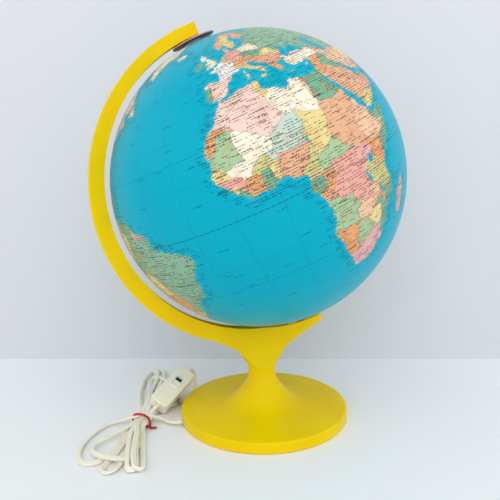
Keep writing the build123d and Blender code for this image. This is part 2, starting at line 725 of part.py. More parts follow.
def soft_tube(points):
    """A tube along straight runs, each corner rounded as far as its two runs allow."""
    radii = []
    for a, b, c in zip(points, points[1:], points[2:]):
        first = Vector(*b) - Vector(*a)
        second = Vector(*c) - Vector(*b)
        turn = math.radians(first.get_angle(second))
        run = min(first.length, second.length)
        radii.append(0.45 * run / math.tan(turn / 2))
    path = FilletPolyline(*points, radius=radii)
    start = Plane(origin=path @ 0, z_dir=path % 0)
    return sweep(start * Circle(CORD_D / 2), path=path)


def at_tie(shape):
    return Pos(TIE_AT[0], TIE_AT[1], 0) * Rot(0, 0, TIE_TURN) * shape


def fan(points, height):
    """The outer shape of one fan of loops lying on the floor."""
    return extrude(make_face(Spline(*points, periodic=True)), height)


def make_hank():
    """Two fans of loops joined by the tied bundle, as one solid of their outer shape."""
    lower = [
        (-143, 22), (-167, 41), (-192, 24), (-206, -10), (-205, -42), (-189, -77),
        (-152, -79), (-137, -42), (-126, 0), (-132, 12),
    ]
    upper = [
        (-137, 24), (-137, 88), (-124, 138), (-106, 171), (-86, 171), (-86, 138),
        (-103, 98), (-119, 54), (-124, 32), (-127, 20),
    ]
    loops = fan(lower, 8.4) + fan(upper, 7.4)
    room = at_tie(Pos(0, 0, 10) * Box(TIE_T + 2 * TIE_GAP, 60, 40))
    middle = (WAIST_LOW + WAIST_HIGH) / 2
    waist = at_tie(Pos(0, 0, middle) * Box(WAIST_L, WAIST_W, WAIST_HIGH - WAIST_LOW))
    return (loops - room) + waist


def make_tie():
    """A coated wire bent once round the bundle, its two ends twisted together."""
    middle = (WAIST_LOW + WAIST_HIGH) / 2
    high = WAIST_HIGH - WAIST_LOW + 2 * TIE_GAP
    wide = WAIST_W + 2 * TIE_GAP
    outer = Box(TIE_T, wide + 2 * TIE_T, high + 2 * TIE_T)
    outer = fillet(outer.edges().filter_by(Axis.X), TIE_T)
    band = outer - Box(2 * TIE_T, wide, high)
    tail = Pos(0, -wide / 2 - TIE_T - 3.4, -high / 2 + 1.0) * Box(TIE_T, 7.4, TIE_T)
    return at_tie(Pos(0, 0, middle) * (band + tail))


if __name__ == "__main__":
    base_shell = save("base_shell", make_base_shell())
    cover = save("base_cover", make_cover())
    save("base_screws", make_screws())
    save("base_weight", make_weight())
    save("floor_pad", rod(BASE_R - PAD_INSET, 0, FELT_T))
    save("cord_grommet", make_grommet(base_shell, cover))
    save("cord_clamp", make_clamp())
    save("clamp_screws", make_clamp_screws())
    save("neck_tube", ring(NIPPLE_R, NIPPLE_BORE_R, TUBE_LOW, TUBE_HIGH))
    save("neck_washers", make_neck_washers())
    save("neck_nuts", make_neck_nuts())
    arm = save("meridian_arm", make_arm())
    north = save("globe_north", AXIS_FRAME * half_shell(True))
    south = save("globe_south", AXIS_FRAME * half_shell(False))
    save("equator_band", AXIS_FRAME * make_band())
    save("north_bush", AXIS_FRAME * make_north_bush(half_shell(True)))
    save("south_bush", AXIS_FRAME * make_south_bush(half_shell(False)))
    save("hour_dial", AXIS_FRAME * ring(DIAL_R, PIN_R + RUN_GAP, DIAL_LOW, DIAL_HIGH))
    save("north_boss", make_boss())
    save("north_pin", AXIS_FRAME * rod(PIN_R, GLOBE_R - 12, ARM_IN_R + 8.0))
    save("south_pivot", make_pivot())
    save("pivot_nut", make_pivot_nut(arm))
    save("pivot_collar", AXIS_FRAME * ring(PIVOT_R + 4, PIVOT_R, COLLAR_LOW, COLLAR_HIGH))
    save("holder_base", AXIS_FRAME * make_holder_base())
    save("holder_sleeve", AXIS_FRAME * make_holder_sleeve())
    save("holder_insert", AXIS_FRAME * make_holder_insert())
    save("bulb_cap", AXIS_FRAME * make_bulb_cap())
    save("bulb_glass", AXIS_FRAME * make_bulb_glass())
    save("inner_flex", make_inner_flex())
    save("switch_upper", beside_foot(in_switch(make_switch_half(True))))
    save("switch_lower", beside_foot(in_switch(make_switch_half(False))))
    save("switch_bezel", beside_foot(in_switch(make_bezel())))
    save("switch_screws", beside_foot(in_switch(make_switch_screws())))
    save("switch_contacts", beside_foot(in_switch(make_switch_contacts())))
    save("switch_slider", beside_foot(in_switch(make_slider())))
    save("plug_body", beside_foot(make_plug_body()))
    save("plug_pins", beside_foot(make_plug_pins()))
    save("cord_lead", beside_foot(soft_tube(LEAD_ROUTE)))
    save("cord_to_switch", beside_foot(soft_tube(SWITCH_ROUTE)))
    save("cord_under_switch", beside_foot(soft_tube(ARC_ROUTE)))
    save("cord_tail", beside_foot(soft_tube(TAIL_ROUTE)))
    save("cord_hank", beside_foot(make_hank()))
    save("cord_tie", beside_foot(make_tie()))
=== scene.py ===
"""Illuminated desktop globe on a moulded stand: its looks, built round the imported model."""

import heapq
import math
import random

import bpy
from mathutils import Matrix, Vector
from mathutils.geometry import delaunay_2d_cdt


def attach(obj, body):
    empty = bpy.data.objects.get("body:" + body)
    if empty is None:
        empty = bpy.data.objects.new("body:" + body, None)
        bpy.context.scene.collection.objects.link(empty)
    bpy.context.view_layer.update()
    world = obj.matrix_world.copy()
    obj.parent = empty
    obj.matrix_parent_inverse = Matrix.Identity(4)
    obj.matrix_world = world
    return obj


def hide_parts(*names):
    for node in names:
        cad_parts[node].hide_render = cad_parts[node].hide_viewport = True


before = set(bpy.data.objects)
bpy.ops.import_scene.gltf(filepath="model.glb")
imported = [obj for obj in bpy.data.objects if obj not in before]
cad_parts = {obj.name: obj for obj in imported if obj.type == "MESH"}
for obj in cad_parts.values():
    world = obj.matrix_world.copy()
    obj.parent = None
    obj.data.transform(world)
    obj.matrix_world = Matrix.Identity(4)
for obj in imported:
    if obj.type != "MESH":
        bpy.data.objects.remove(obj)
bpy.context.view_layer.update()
scene = bpy.context.scene


# ---- camera -------------------------------------------------------------------------------
# A small lens close by, at the height of the globe's middle and a little to the left of the
# stand, turned down far enough to take in the foot and the bundled cord.

lens = bpy.data.cameras.new("camera_lens")
lens.sensor_width = 36.0
lens.lens = 37.08
lens.shift_x = 0.054
camera = bpy.data.objects.new("camera", lens)
scene.collection.objects.link(camera)
camera.matrix_world = (
    Matrix.Translation((-0.1942, -0.5120, 0.2588))
    @ Matrix.Rotation(math.radians(-16.86), 4, "Z")
    @ Matrix.Rotation(math.radians(90.0 - 7.76), 4, "X")
    @ Matrix.Rotation(math.radians(-2.37), 4, "Z")
)
scene.camera = camera


# ---- studio -------------------------------------------------------------------------------
# A white table that meets a pale wall close behind the globe. Soft light comes from the
# whole room, with one large diffuser high in front and a smaller one at the left.

def tone(red, green, blue):
    """A paint-card colour, 0 to 255 a channel, as the linear colour that shaders use."""
    linear = []
    for channel in (red, green, blue):
        share = channel / 255.0
        linear.append(share / 12.92 if share < 0.04045 else ((share + 0.055) / 1.055) ** 2.4)
    return (*linear, 1.0)


def new_finish(name):
    """A material with its node tree emptied down to a Principled shader and the output."""
    finish = bpy.data.materials.new(name)
    finish.use_nodes = True
    nodes = finish.node_tree.nodes
    shader = nodes["Principled BSDF"]
    return finish, nodes, finish.node_tree.links, shader


def add_mesh(name, points, faces, body="stand"):
    mesh = bpy.data.meshes.new(name)
    mesh.from_pydata(points, [], faces)
    mesh.validate()
    piece = bpy.data.objects.new(name, mesh)
    scene.collection.objects.link(piece)
    if body:
        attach(piece, body)
    return piece


scene.view_settings.view_transform = "Standard"

TABLE_REACH = 4.0
table = add_mesh(
    "table_top",
    [(-TABLE_REACH, -TABLE_REACH, 0), (TABLE_REACH, -TABLE_REACH, 0),
     (TABLE_REACH, TABLE_REACH, 0), (-TABLE_REACH, TABLE_REACH, 0)],
    [(0, 1, 2, 3)],
    body=None,
)
WALL_BEHIND = 0.1703
WALL_TURN = math.radians(23.7)
wall_facing = Vector((math.sin(WALL_TURN), math.cos(WALL_TURN), 0))
wall_along = Vector((wall_facing.y, -wall_facing.x, 0))
wall_foot = wall_facing * WALL_BEHIND
wall = add_mesh(
    "wall",
    [wall_foot - wall_along * TABLE_REACH, wall_foot + wall_along * TABLE_REACH,
     wall_foot + wall_along * TABLE_REACH + Vector((0, 0, 2)),
     wall_foot - wall_along * TABLE_REACH + Vector((0, 0, 2))],
    [(0, 1, 2, 3)],
    body=None,
)

for card, colour, see_through in (
    (table, tone(246, 247, 248), False),
    (wall, tone(223, 225, 228), True),
):
    paper, nodes, links, shader = new_finish(card.name + "_paper")
    shader.inputs["Base Color"].default_value = colour
    shader.inputs["Roughness"].default_value = 0.6
    shader.inputs["Specular IOR Level"].default_value = 0.25
    if see_through:
        behind = nodes.new("ShaderNodeNewGeometry")
        clear = nodes.new("ShaderNodeBsdfTransparent")
        choose = nodes.new("ShaderNodeMixShader")
        links.new(behind.outputs["Backfacing"], choose.inputs[0])
        links.new(shader.outputs[0], choose.inputs[1])
        links.new(clear.outputs[0], choose.inputs[2])
        links.new(choose.outputs[0], nodes["Material Output"].inputs["Surface"])
    card.data.materials.append(paper)

room = bpy.data.worlds.new("room_light")
room.use_nodes = True
room.node_tree.nodes["Background"].inputs["Color"].default_value = tone(250, 252, 255)
room.node_tree.nodes["Background"].inputs["Strength"].default_value = 0.70
scene.world = room


def diffuser(name, place, aim, width, power):
    light = bpy.data.lights.new(name, "AREA")
    light.shape = "RECTANGLE"
    light.size = width
    light.size_y = width * 0.7
    light.energy = power
    lamp = bpy.data.objects.new(name, light)
    lamp.location = place
    lamp.rotation_mode = "QUATERNION"
    lamp.rotation_quaternion = (Vector(aim) - Vector(place)).to_track_quat("-Z", "Y")
    scene.collection.objects.link(lamp)


diffuser("front_diffuser", (-0.45, -1.60, 1.65), (0, 0, 0.20), 2.6, 17.0)
diffuser("left_diffuser", (-1.80, -0.10, 1.10), (0, 0, 0.20), 1.8, 4.0)
diffuser("right_diffuser", (1.30, -1.20, 0.80), (0, 0, 0.20), 1.8, 4.5)


# ---- mains cord ---------------------------------------------------------------------------
# About two metres of ivory two-core flat flex in soft PVC, 5 mm wide, with a groove between
# its cores. It leaves the foot's rim, is folded into a hank that a coated wire ties, passes
# through the hand switch and ends in the moulded plug that lies behind the switch.

TIE_AT = Vector((-0.1335, 0.0150, 0))
TIE_TURN = math.radians(50.0)
STRANDS_RUN = Vector((math.cos(TIE_TURN), math.sin(TIE_TURN), 0))
STRANDS_LEFT = Vector((-math.sin(TIE_TURN), math.cos(TIE_TURN), 0))
TIE_REACH = 0.0065
CORD_WIDTH = 0.0055
CORE_R = 0.0016

EXIT = (-0.0920, 0.0000, 0.0058)
SWITCH_LOW_END = (-0.1129, 0.0343, 0.0123)
SWITCH_HIGH_END = (-0.0689, 0.0707, 0.0307)
PLUG_REAR = (-0.0862, 0.0929, 0.0073)


def up_through(left, high, roll):
    """Two points that carry a strand through the tie towards the switch's side."""
    middle = TIE_AT + STRANDS_LEFT * left + Vector((0, 0, high))
    return [(*(middle - STRANDS_RUN * TIE_REACH), roll), (*(middle + STRANDS_RUN * TIE_REACH), roll)]


def down_through(left, high, roll):
    return list(reversed(up_through(left, high, roll)))


# Each point is its place in metres and how far, in degrees, the flat side leans from level.
LEAD = [
    (*EXIT, 0), (-0.0985, 0.0005, 0.0054, 25), (-0.1050, 0.0060, 0.0044, 60),
    (-0.1095, 0.0140, 0.0042, 75), (-0.1170, 0.0185, 0.0062, 60), (-0.1250, 0.0190, 0.0095, 20),
    (-0.1335, 0.0192, 0.0118, 5), (-0.1420, 0.0220, 0.0098, 5), (-0.1500, 0.0270, 0.0058, 10),
]
OUTER_LOOP = [
    (-0.1600, 0.0310, 0.0034, 25), (-0.1710, 0.0290, 0.0026, 30), (-0.1860, 0.0130, 0.0024, 25),
    (-0.1960, -0.0050, 0.0024, 25), (-0.2010, -0.0230, 0.0023, 20), (-0.1990, -0.0390, 0.0023, 20),
    (-0.1920, -0.0450, 0.0023, 20), (-0.1830, -0.0440, 0.0022, 15), (-0.1750, -0.0390, 0.0020, 10),
    (-0.1670, -0.0280, 0.0018, 5), (-0.1590, -0.0150, 0.0018, 5), (-0.1510, 0.0010, 0.0022, 10),
]
UPPER_LEFT_LOOP = [
    (-0.1310, 0.0400, 0.0028, 20), (-0.1270, 0.0650, 0.0026, 35), (-0.1240, 0.0900, 0.0026, 50),
    (-0.1190, 0.1140, 0.0027, 60), (-0.1100, 0.1420, 0.0027, 65), (-0.0993, 0.1607, 0.0026, 60),
    (-0.0959, 0.1625, 0.0026, 55), (-0.0923, 0.1613, 0.0027, 50), (-0.0905, 0.1579, 0.0030, 40),
    (-0.0960, 0.1300, 0.0048, 25),
    (-0.1060, 0.1030, 0.0056, 15), (-0.1160, 0.0760, 0.0058, 15), (-0.1240, 0.0520, 0.0060, 15),
    (-0.1300, 0.0340, 0.0064, 10),
]
INNER_LOOP = [
    (-0.1480, 0.0070, 0.0070, 10), (-0.1570, 0.0030, 0.0060, 20), (-0.1670, -0.0010, 0.0046, 30),
    (-0.1790, -0.0070, 0.0032, 45), (-0.1870, -0.0160, 0.0030, 50), (-0.1870, -0.0280, 0.0042, 40),
    (-0.1810, -0.0400, 0.0058, 20), (-0.1720, -0.0480, 0.0062, 10), (-0.1640, -0.0520, 0.0058, 5),
    (-0.1550, -0.0520, 0.0040, 0), (-0.1480, -0.0420, 0.0022, 0), (-0.1410, -0.0180, 0.0018, 5),
    (-0.1350, 0.0000, 0.0036, 10),
]
TO_SWITCH = [
    (-0.1240, 0.0215, 0.0084, 0), (-0.1180, 0.0301, 0.0102, -20), (*SWITCH_LOW_END, -32),
    (-0.0909, 0.0525, 0.0215, -32), (*SWITCH_HIGH_END, -32),
]
UNDER_SWITCH = [
    (-0.0638, 0.0749, 0.0328, -30), (-0.0585, 0.0830, 0.0255, 0), (-0.0575, 0.0800, 0.0145, 0),
    (-0.0615, 0.0725, 0.0060, 10), (-0.0700, 0.0645, 0.0030, 20), (-0.0815, 0.0570, 0.0022, 10),
    (-0.0945, 0.0515, 0.0020, 5), (-0.1080, 0.0465, 0.0020, 5), (-0.1170, 0.0375, 0.0024, 10),
    (-0.1215, 0.0280, 0.0030, 15),
]
SMALL_LOOP = [
    (-0.1430, -0.0060, 0.0022, 10), (-0.1500, -0.0240, 0.0018, 5), (-0.1580, -0.0440, 0.0017, 0),
    (-0.1640, -0.0560, 0.0020, 15), (-0.1710, -0.0650, 0.0023, 30), (-0.1780, -0.0670, 0.0025, 40),
    (-0.1815, -0.0600, 0.0026, 45), (-0.1770, -0.0510, 0.0024, 30), (-0.1690, -0.0400, 0.0018, 5),
    (-0.1620, -0.0280, 0.0018, 0), (-0.1550, -0.0150, 0.0018, 0), (-0.1460, 0.0000, 0.0024, 5),
]
UPPER_RIGHT_LOOP = [
    (-0.1260, 0.0420, 0.0026, 10), (-0.1190, 0.0660, 0.0022, 5), (-0.1110, 0.0920, 0.0020, 5),
    (-0.1010, 0.1240, 0.0020, 10), (-0.0950, 0.1480, 0.0022, 20), (-0.0907, 0.1642, 0.0026, 40),
    (-0.0876, 0.1662, 0.0026, 45), (-0.0841, 0.1654, 0.0026, 45), (-0.0821, 0.1623, 0.0026, 40),
    (-0.0850, 0.1400, 0.0030, 20),
    (-0.0940, 0.1180, 0.0048, 10), (-0.1030, 0.0930, 0.0058, 5), (-0.1085, 0.0760, 0.0060, 5),
    (-0.1140, 0.0580, 0.0064, 5), (-0.1230, 0.0370, 0.0070, 5),
]
FRONT_LOOP = [
    (-0.1440, 0.0010, 0.0076, 10), (-0.1490, -0.0130, 0.0080, 15), (-0.1530, -0.0330, 0.0080, 15),
    (-0.1565, -0.0530, 0.0066, 20), (-0.1589, -0.0672, 0.0040, 35), (-0.1567, -0.0700, 0.0034, 45),
    (-0.1533, -0.0704, 0.0034, 45), (-0.1506, -0.0682, 0.0038, 35), (-0.1490, -0.0540, 0.0056, 15),
    (-0.1470, -0.0380, 0.0060, 5),
    (-0.1440, -0.0200, 0.0056, 5), (-0.1400, -0.0040, 0.0048, 5),
]
UPPER_INNER_LOOP = [
    (-0.1230, 0.0340, 0.0026, 5), (-0.1170, 0.0580, 0.0022, 5), (-0.1135, 0.0800, 0.0022, 5),
    (-0.1110, 0.1000, 0.0022, 15), (-0.1056, 0.1203, 0.0025, 30), (-0.1023, 0.1228, 0.0026, 40),
    (-0.0982, 0.1221, 0.0026, 40), (-0.0958, 0.1188, 0.0026, 30), (-0.0980, 0.1030, 0.0024, 15),
    (-0.1040, 0.0870, 0.0024, 10),
    (-0.1100, 0.0680, 0.0030, 5), (-0.1165, 0.0490, 0.0050, 5), (-0.1230, 0.0330, 0.0064, 5),
]
NEAR_LOOP = [
    (-0.1345, -0.0040, 0.0040, 5), (-0.1385, -0.0260, 0.0024, 15), (-0.1415, -0.0480, 0.0024, 25),
    (-0.1447, -0.0719, 0.0032, 40), (-0.1475, -0.0739, 0.0040, 50), (-0.1509, -0.0733, 0.0052, 45),
    (-0.1529, -0.0705, 0.0066, 40), (-0.1512, -0.0540, 0.0094, 15), (-0.1468, -0.0340, 0.0100, 5),
    (-0.1425, -0.0160, 0.0100, 5),
    (-0.1405, 0.0000, 0.0098, 5),
]
TAIL = [
    (-0.1240, 0.0330, 0.0090, 5), (-0.1180, 0.0540, 0.0086, 5), (-0.1130, 0.0760, 0.0082, 5),
    (-0.1105, 0.0980, 0.0060, 10), (-0.1085, 0.1180, 0.0050, 20), (-0.1040, 0.1330, 0.0050, 30),
    (-0.0970, 0.1370, 0.0052, 30), (-0.0900, 0.1290, 0.0052, 20), (-0.0855, 0.1150, 0.0054, 10),
    (-0.0846, 0.1008, 0.0070, 0), (*PLUG_REAR, 0),
]

route = LEAD + OUTER_LOOP + up_through(0.0080, 0.0038, 20)
route += UPPER_LEFT_LOOP + down_through(0.0060, 0.0068, 15)
route += INNER_LOOP + up_through(-0.0060, 0.0068, 10) + TO_SWITCH
route += UNDER_SWITCH + down_through(-0.0040, 0.0038, 10)
route += SMALL_LOOP + up_through(0.0040, 0.0038, 10)
route += UPPER_RIGHT_LOOP + down_through(0.0020, 0.0068, 5)
route += FRONT_LOOP + up_through(0.0000, 0.0038, 5)
route += UPPER_INNER_LOOP + down_through(-0.0020, 0.0068, 5)
route += NEAR_LOOP + up_through(0.0000, 0.0094, 5) + TAIL


def smooth_line(points, fineness):
    """The points that a NURBS line with these control points passes through, in order."""
    curve = bpy.data.curves.new("route_line", "CURVE")
    curve.dimensions = "3D"
    spline = curve.splines.new("NURBS")
    spline.points.add(len(points) - 1)
    for knot, point in zip(spline.points, points):
        knot.co = (*point[:3], 1.0)
    spline.order_u = 3
    spline.use_endpoint_u = True
    spline.resolution_u = fineness
    carrier = bpy.data.objects.new("route_line", curve)
    scene.collection.objects.link(carrier)
    scene.view_layers[0].update()
    mesh = bpy.data.meshes.new_from_object(carrier)
    line = []
    for vertex in mesh.vertices:
        if not line or (vertex.co - line[-1]).length > 0.00001:
            line.append(vertex.co.copy())
    bpy.data.objects.remove(carrier)
    bpy.data.curves.remove(curve)
    bpy.data.meshes.remove(mesh)
    return line


def sweep_section(line, section, sides=None):
    """Rings of the section's points along the line, and the faces that join them."""
    points, faces = [], []
    count = len(section)
    for index, place in enumerate(line):
        ahead = line[min(index + 1, len(line) - 1)] - line[max(index - 1, 0)]
        ahead.normalize()
        side = sides[index] - ahead * sides[index].dot(ahead)
        side.normalize()
        rise = side.cross(ahead)
        points += [place + side * across + rise * high for across, high in section]
        if index:
            base = (index - 1) * count
            for k in range(count):
                after = (k + 1) % count
                faces.append((base + k, base + after, base + count + after, base + count + k))
    faces.append(tuple(reversed(range(count))))
    faces.append(tuple(range(len(points) - count, len(points))))
    return points, faces


def lying_sides(line, rolls):
    """Which way the flex's width points at each place, without sudden twists."""
    sides, side = [], Vector((0, 1, 0))
    for index, place in enumerate(line):
        ahead = line[min(index + 1, len(line) - 1)] - line[max(index - 1, 0)]
        ahead.normalize()
        side = side - ahead * side.dot(ahead)
        side.normalize()
        level = ahead.cross(Vector((0, 0, 1)))
        if level.length > 0.35:
            spot = index / (len(line) - 1) * (len(rolls) - 1)
            before = min(int(spot), len(rolls) - 2)
            roll = rolls[before] + (rolls[before + 1] - rolls[before]) * (spot - before)
            wanted = Matrix.Rotation(math.radians(roll), 3, ahead) @ level.normalized()
            if wanted.dot(side) < 0:
                wanted = -wanted
            side = (side * 0.8 + wanted * 0.2).normalized()
        sides.append(side.copy())
    return sides


FLEX_FINENESS = 7
CORE_APART = CORD_WIDTH / 2 - CORE_R
GROOVE = math.degrees(math.acos(-CORE_APART / CORE_R))
flex_section = []
for lobe in (1, -1):
    for step in range(9):
        turn = math.radians(-GROOVE + 2 * GROOVE * step / 9)
        across = CORE_APART + CORE_R * math.cos(turn)
        flex_section.append((lobe * across, lobe * CORE_R * math.sin(turn)))

cord_line = smooth_line(route, FLEX_FINENESS)
cord_sides = lying_sides(cord_line, [point[3] for point in route])
cord_points, cord_faces = sweep_section(cord_line, flex_section, cord_sides)
mains_cord = add_mesh("mains_cord", cord_points, cord_faces)
mains_cord.data.shade_smooth()
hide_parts("cord_lead", "cord_hank", "cord_to_switch", "cord_under_switch", "cord_tail")


def surface_group(name, inputs):
    """An empty node group for a surface effect, with a colour, a roughness and a normal out."""
    group = bpy.data.node_groups.new(name, "ShaderNodeTree")
    for label, kind, value in inputs:
        socket = group.interface.new_socket(label, in_out="INPUT", socket_type=kind)
        socket.default_value = value
    for label, kind in (("Color", "NodeSocketColor"), ("Roughness", "NodeSocketFloat"),
                        ("Normal", "NodeSocketVector")):
        group.interface.new_socket(label, in_out="OUTPUT", socket_type=kind)
    return group, group.nodes.new("NodeGroupInput"), group.nodes.new("NodeGroupOutput")


def moulding_group():
    """Moulded plastic: slow drift of shade, orange-peel bumps and a patchy polish."""
    group, given, out = surface_group("moulded_surface", [
        ("Colour", "NodeSocketColor", (0.8, 0.8, 0.8, 1)),
        ("Soiled Colour", "NodeSocketColor", (0.5, 0.5, 0.45, 1)),
        ("Soiling", "NodeSocketFloat", 0.2),
        ("Polish", "NodeSocketFloat", 0.3),
        ("Peel Scale", "NodeSocketFloat", 400.0),
        ("Peel Depth", "NodeSocketFloat", 0.00003),
    ])
    nodes, links = group.nodes, group.links
    place = nodes.new("ShaderNodeTexCoord")
    drift = nodes.new("ShaderNodeTexNoise")
    drift.inputs["Scale"].default_value = 22.0
    drift.inputs["Detail"].default_value = 4.0
    links.new(place.outputs["Object"], drift.inputs["Vector"])
    soil = nodes.new("ShaderNodeMapRange")
    soil.inputs["From Min"].default_value = 0.42
    soil.inputs["From Max"].default_value = 0.72
    links.new(drift.outputs["Fac"], soil.inputs["Value"])
    amount = nodes.new("ShaderNodeMath")
    amount.operation = "MULTIPLY"
    links.new(soil.outputs["Result"], amount.inputs[0])
    links.new(given.outputs["Soiling"], amount.inputs[1])
    mix = nodes.new("ShaderNodeMix")
    mix.data_type = "RGBA"
    links.new(amount.outputs[0], mix.inputs[0])
    links.new(given.outputs["Colour"], mix.inputs[6])
    links.new(given.outputs["Soiled Colour"], mix.inputs[7])
    links.new(mix.outputs[2], out.inputs["Color"])
    smear = nodes.new("ShaderNodeTexNoise")
    smear.inputs["Scale"].default_value = 70.0
    smear.inputs["Detail"].default_value = 5.0
    links.new(place.outputs["Object"], smear.inputs["Vector"])
    haze = nodes.new("ShaderNodeMath")
    haze.operation = "MULTIPLY_ADD"
    haze.inputs[1].default_value = 0.16
    links.new(smear.outputs["Fac"], haze.inputs[0])
    links.new(given.outputs["Polish"], haze.inputs[2])
    links.new(haze.outputs[0], out.inputs["Roughness"])
    peel = nodes.new("ShaderNodeTexNoise")
    peel.inputs["Detail"].default_value = 2.0
    links.new(given.outputs["Peel Scale"], peel.inputs["Scale"])
    links.new(place.outputs["Object"], peel.inputs["Vector"])
    bump = nodes.new("ShaderNodeBump")
    links.new(given.outputs["Peel Depth"], bump.inputs["Distance"])
    links.new(peel.outputs["Fac"], bump.inputs["Height"])
    links.new(bump.outputs["Normal"], out.inputs["Normal"])
    return group


MOULDED = moulding_group()


def moulded_finish(name, colour, soiled, soiling, polish, peel_scale, peel_depth, specular=0.5):
    finish, nodes, links, shader = new_finish(name)
    surface = nodes.new("ShaderNodeGroup")
    surface.node_tree = MOULDED
    surface.inputs["Colour"].default_value = colour
    surface.inputs["Soiled Colour"].default_value = soiled
    surface.inputs["Soiling"].default_value = soiling
    surface.inputs["Polish"].default_value = polish
    surface.inputs["Peel Scale"].default_value = peel_scale
    surface.inputs["Peel Depth"].default_value = peel_depth
    links.new(surface.outputs["Color"], shader.inputs["Base Color"])
    links.new(surface.outputs["Roughness"], shader.inputs["Roughness"])
    links.new(surface.outputs["Normal"], shader.inputs["Normal"])
    shader.inputs["Specular IOR Level"].default_value = specular
    return finish, shader


flex_pvc, shader = moulded_finish(
    "ivory_flex_pvc", tone(250, 245, 228), tone(232, 222, 190), 0.5, 0.34, 900.0, 0.00002
)
shader.inputs["Subsurface Weight"].default_value = 0.15
shader.inputs["Subsurface Radius"].default_value = (0.002, 0.0015, 0.001)
mains_cord.data.materials.append(flex_pvc)


# ---- wire tie -----------------------------------------------------------------------------
# A red plastic-coated wire, doubled and twisted on itself, bent once round the bundle. Its
# two ends are twisted together beside the bundle and one sticks out over the table.

TIE_STRAND_R = 0.00085
tie_round = [
    (-0.0100, 0.0022), (-0.0060, 0.0015), (0.0000, 0.0015), (0.0060, 0.0015), (0.0100, 0.0025),
    (0.0108, 0.0075), (0.0094, 0.0120), (0.0050, 0.0139), (0.0000, 0.0144), (-0.0050, 0.0137),
    (-0.0092, 0.0115), (-0.0108, 0.0070), (-0.0104, 0.0030),
]
tie_route = [TIE_AT + STRANDS_LEFT * left + Vector((0, 0, high)) for left, high in tie_round]
tie_route += [
    TIE_AT - STRANDS_LEFT * 0.0112 - STRANDS_RUN * 0.0020 + Vector((0, 0, 0.0018)),
    TIE_AT - STRANDS_LEFT * 0.0140 - STRANDS_RUN * 0.0010 + Vector((0, 0, 0.0016)),
    TIE_AT - STRANDS_LEFT * 0.0178 + STRANDS_RUN * 0.0010 + Vector((0, 0, 0.0018)),
]
tie_line = smooth_line(tie_route, 12)
TIE_TWISTS = 11
tie_points, tie_faces = [], []
coat_section = [
    (TIE_STRAND_R * math.cos(math.tau * k / 10), TIE_STRAND_R * math.sin(math.tau * k / 10))
    for k in range(10)
]
for strand in (0, 1):
    helix, outward = [], []
    for index, place in enumerate(tie_line):
        ahead = tie_line[min(index + 1, len(tie_line) - 1)] - tie_line[max(index - 1, 0)]
        ahead.normalize()
        turn = math.tau * TIE_TWISTS * index / len(tie_line) + math.pi * strand
        level = ahead.cross(STRANDS_RUN).normalized()
        lift = level.cross(ahead)
        away = level * math.cos(turn) + lift * math.sin(turn)
        helix.append(place + away * TIE_STRAND_R * 0.62)
        outward.append(away)
    points, faces = sweep_section(helix, coat_section, outward)
    shift = len(tie_points)
    tie_points += points
    tie_faces += [tuple(k + shift for k in face) for face in faces]
wire_tie = add_mesh("wire_tie", tie_points, tie_faces)
wire_tie.data.shade_smooth()
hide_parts("cord_tie")
tie_coat, shader = moulded_finish(
    "red_wire_coat", tone(214, 22, 34), tone(120, 10, 18), 0.7, 0.16, 700.0, 0.00002
)
wire_tie.data.materials.append(tie_coat)


# ---- stand --------------------------------------------------------------------------------
# Foot and meridian arm are two hollow polystyrene mouldings in lemon yellow, semi-gloss,
# bolted together in the neck. Years of handling left faint scuffs.

def set_finish(finish, *names):
    """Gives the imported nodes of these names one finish."""
    for name in names:
        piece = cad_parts[name]
        piece.data.materials.clear()
        piece.data.materials.append(finish)


stand_yellow, shader = moulded_finish(
    "lemon_yellow_moulding", tone(246, 211, 0), tone(232, 192, 0), 0.5, 0.26, 260.0, 0.00002, 0.10
)
set_finish(stand_yellow, "base_shell", "meridian_arm")


# ---- printed globe ------------------------------------------------------------------------
# Two thin plastic half shells joined at the equator, covered with a political map printed in
# turquoise and pastel and lacquered. The map here is a generic one without any lettering.

GLOBE_MIDDLE = Vector((0, 0, 0.2547))
GLOBE_R = 0.150
GLOBE_INNER_R = 0.148
TILT = math.radians(23.5)
FRONT_MERIDIAN = 13.7
SEAM_MERIDIAN = -170.0
TOP_LATITUDE = 87.7
LOW_LATITUDE = -83.9

CREAM, PINK_CREAM, ROSE = tone(248, 240, 216), tone(244, 214, 198), tone(238, 176, 160)
PEACH, SALMON, ORANGE = tone(242, 200, 164), tone(234, 182, 144), tone(236, 172, 118)
YELLOW, OCHRE, MINT = tone(238, 218, 150), tone(220, 184, 90), tone(140, 190, 158)
GREEN, PALE_GREEN, OLIVE = tone(126, 182, 146), tone(172, 204, 158), tone(214, 208, 140)
MAUVE, BLUE_GREEN, WHITE = tone(232, 180, 180), tone(200, 220, 204), tone(244, 242, 236)
SEA = tone(0, 170, 196)

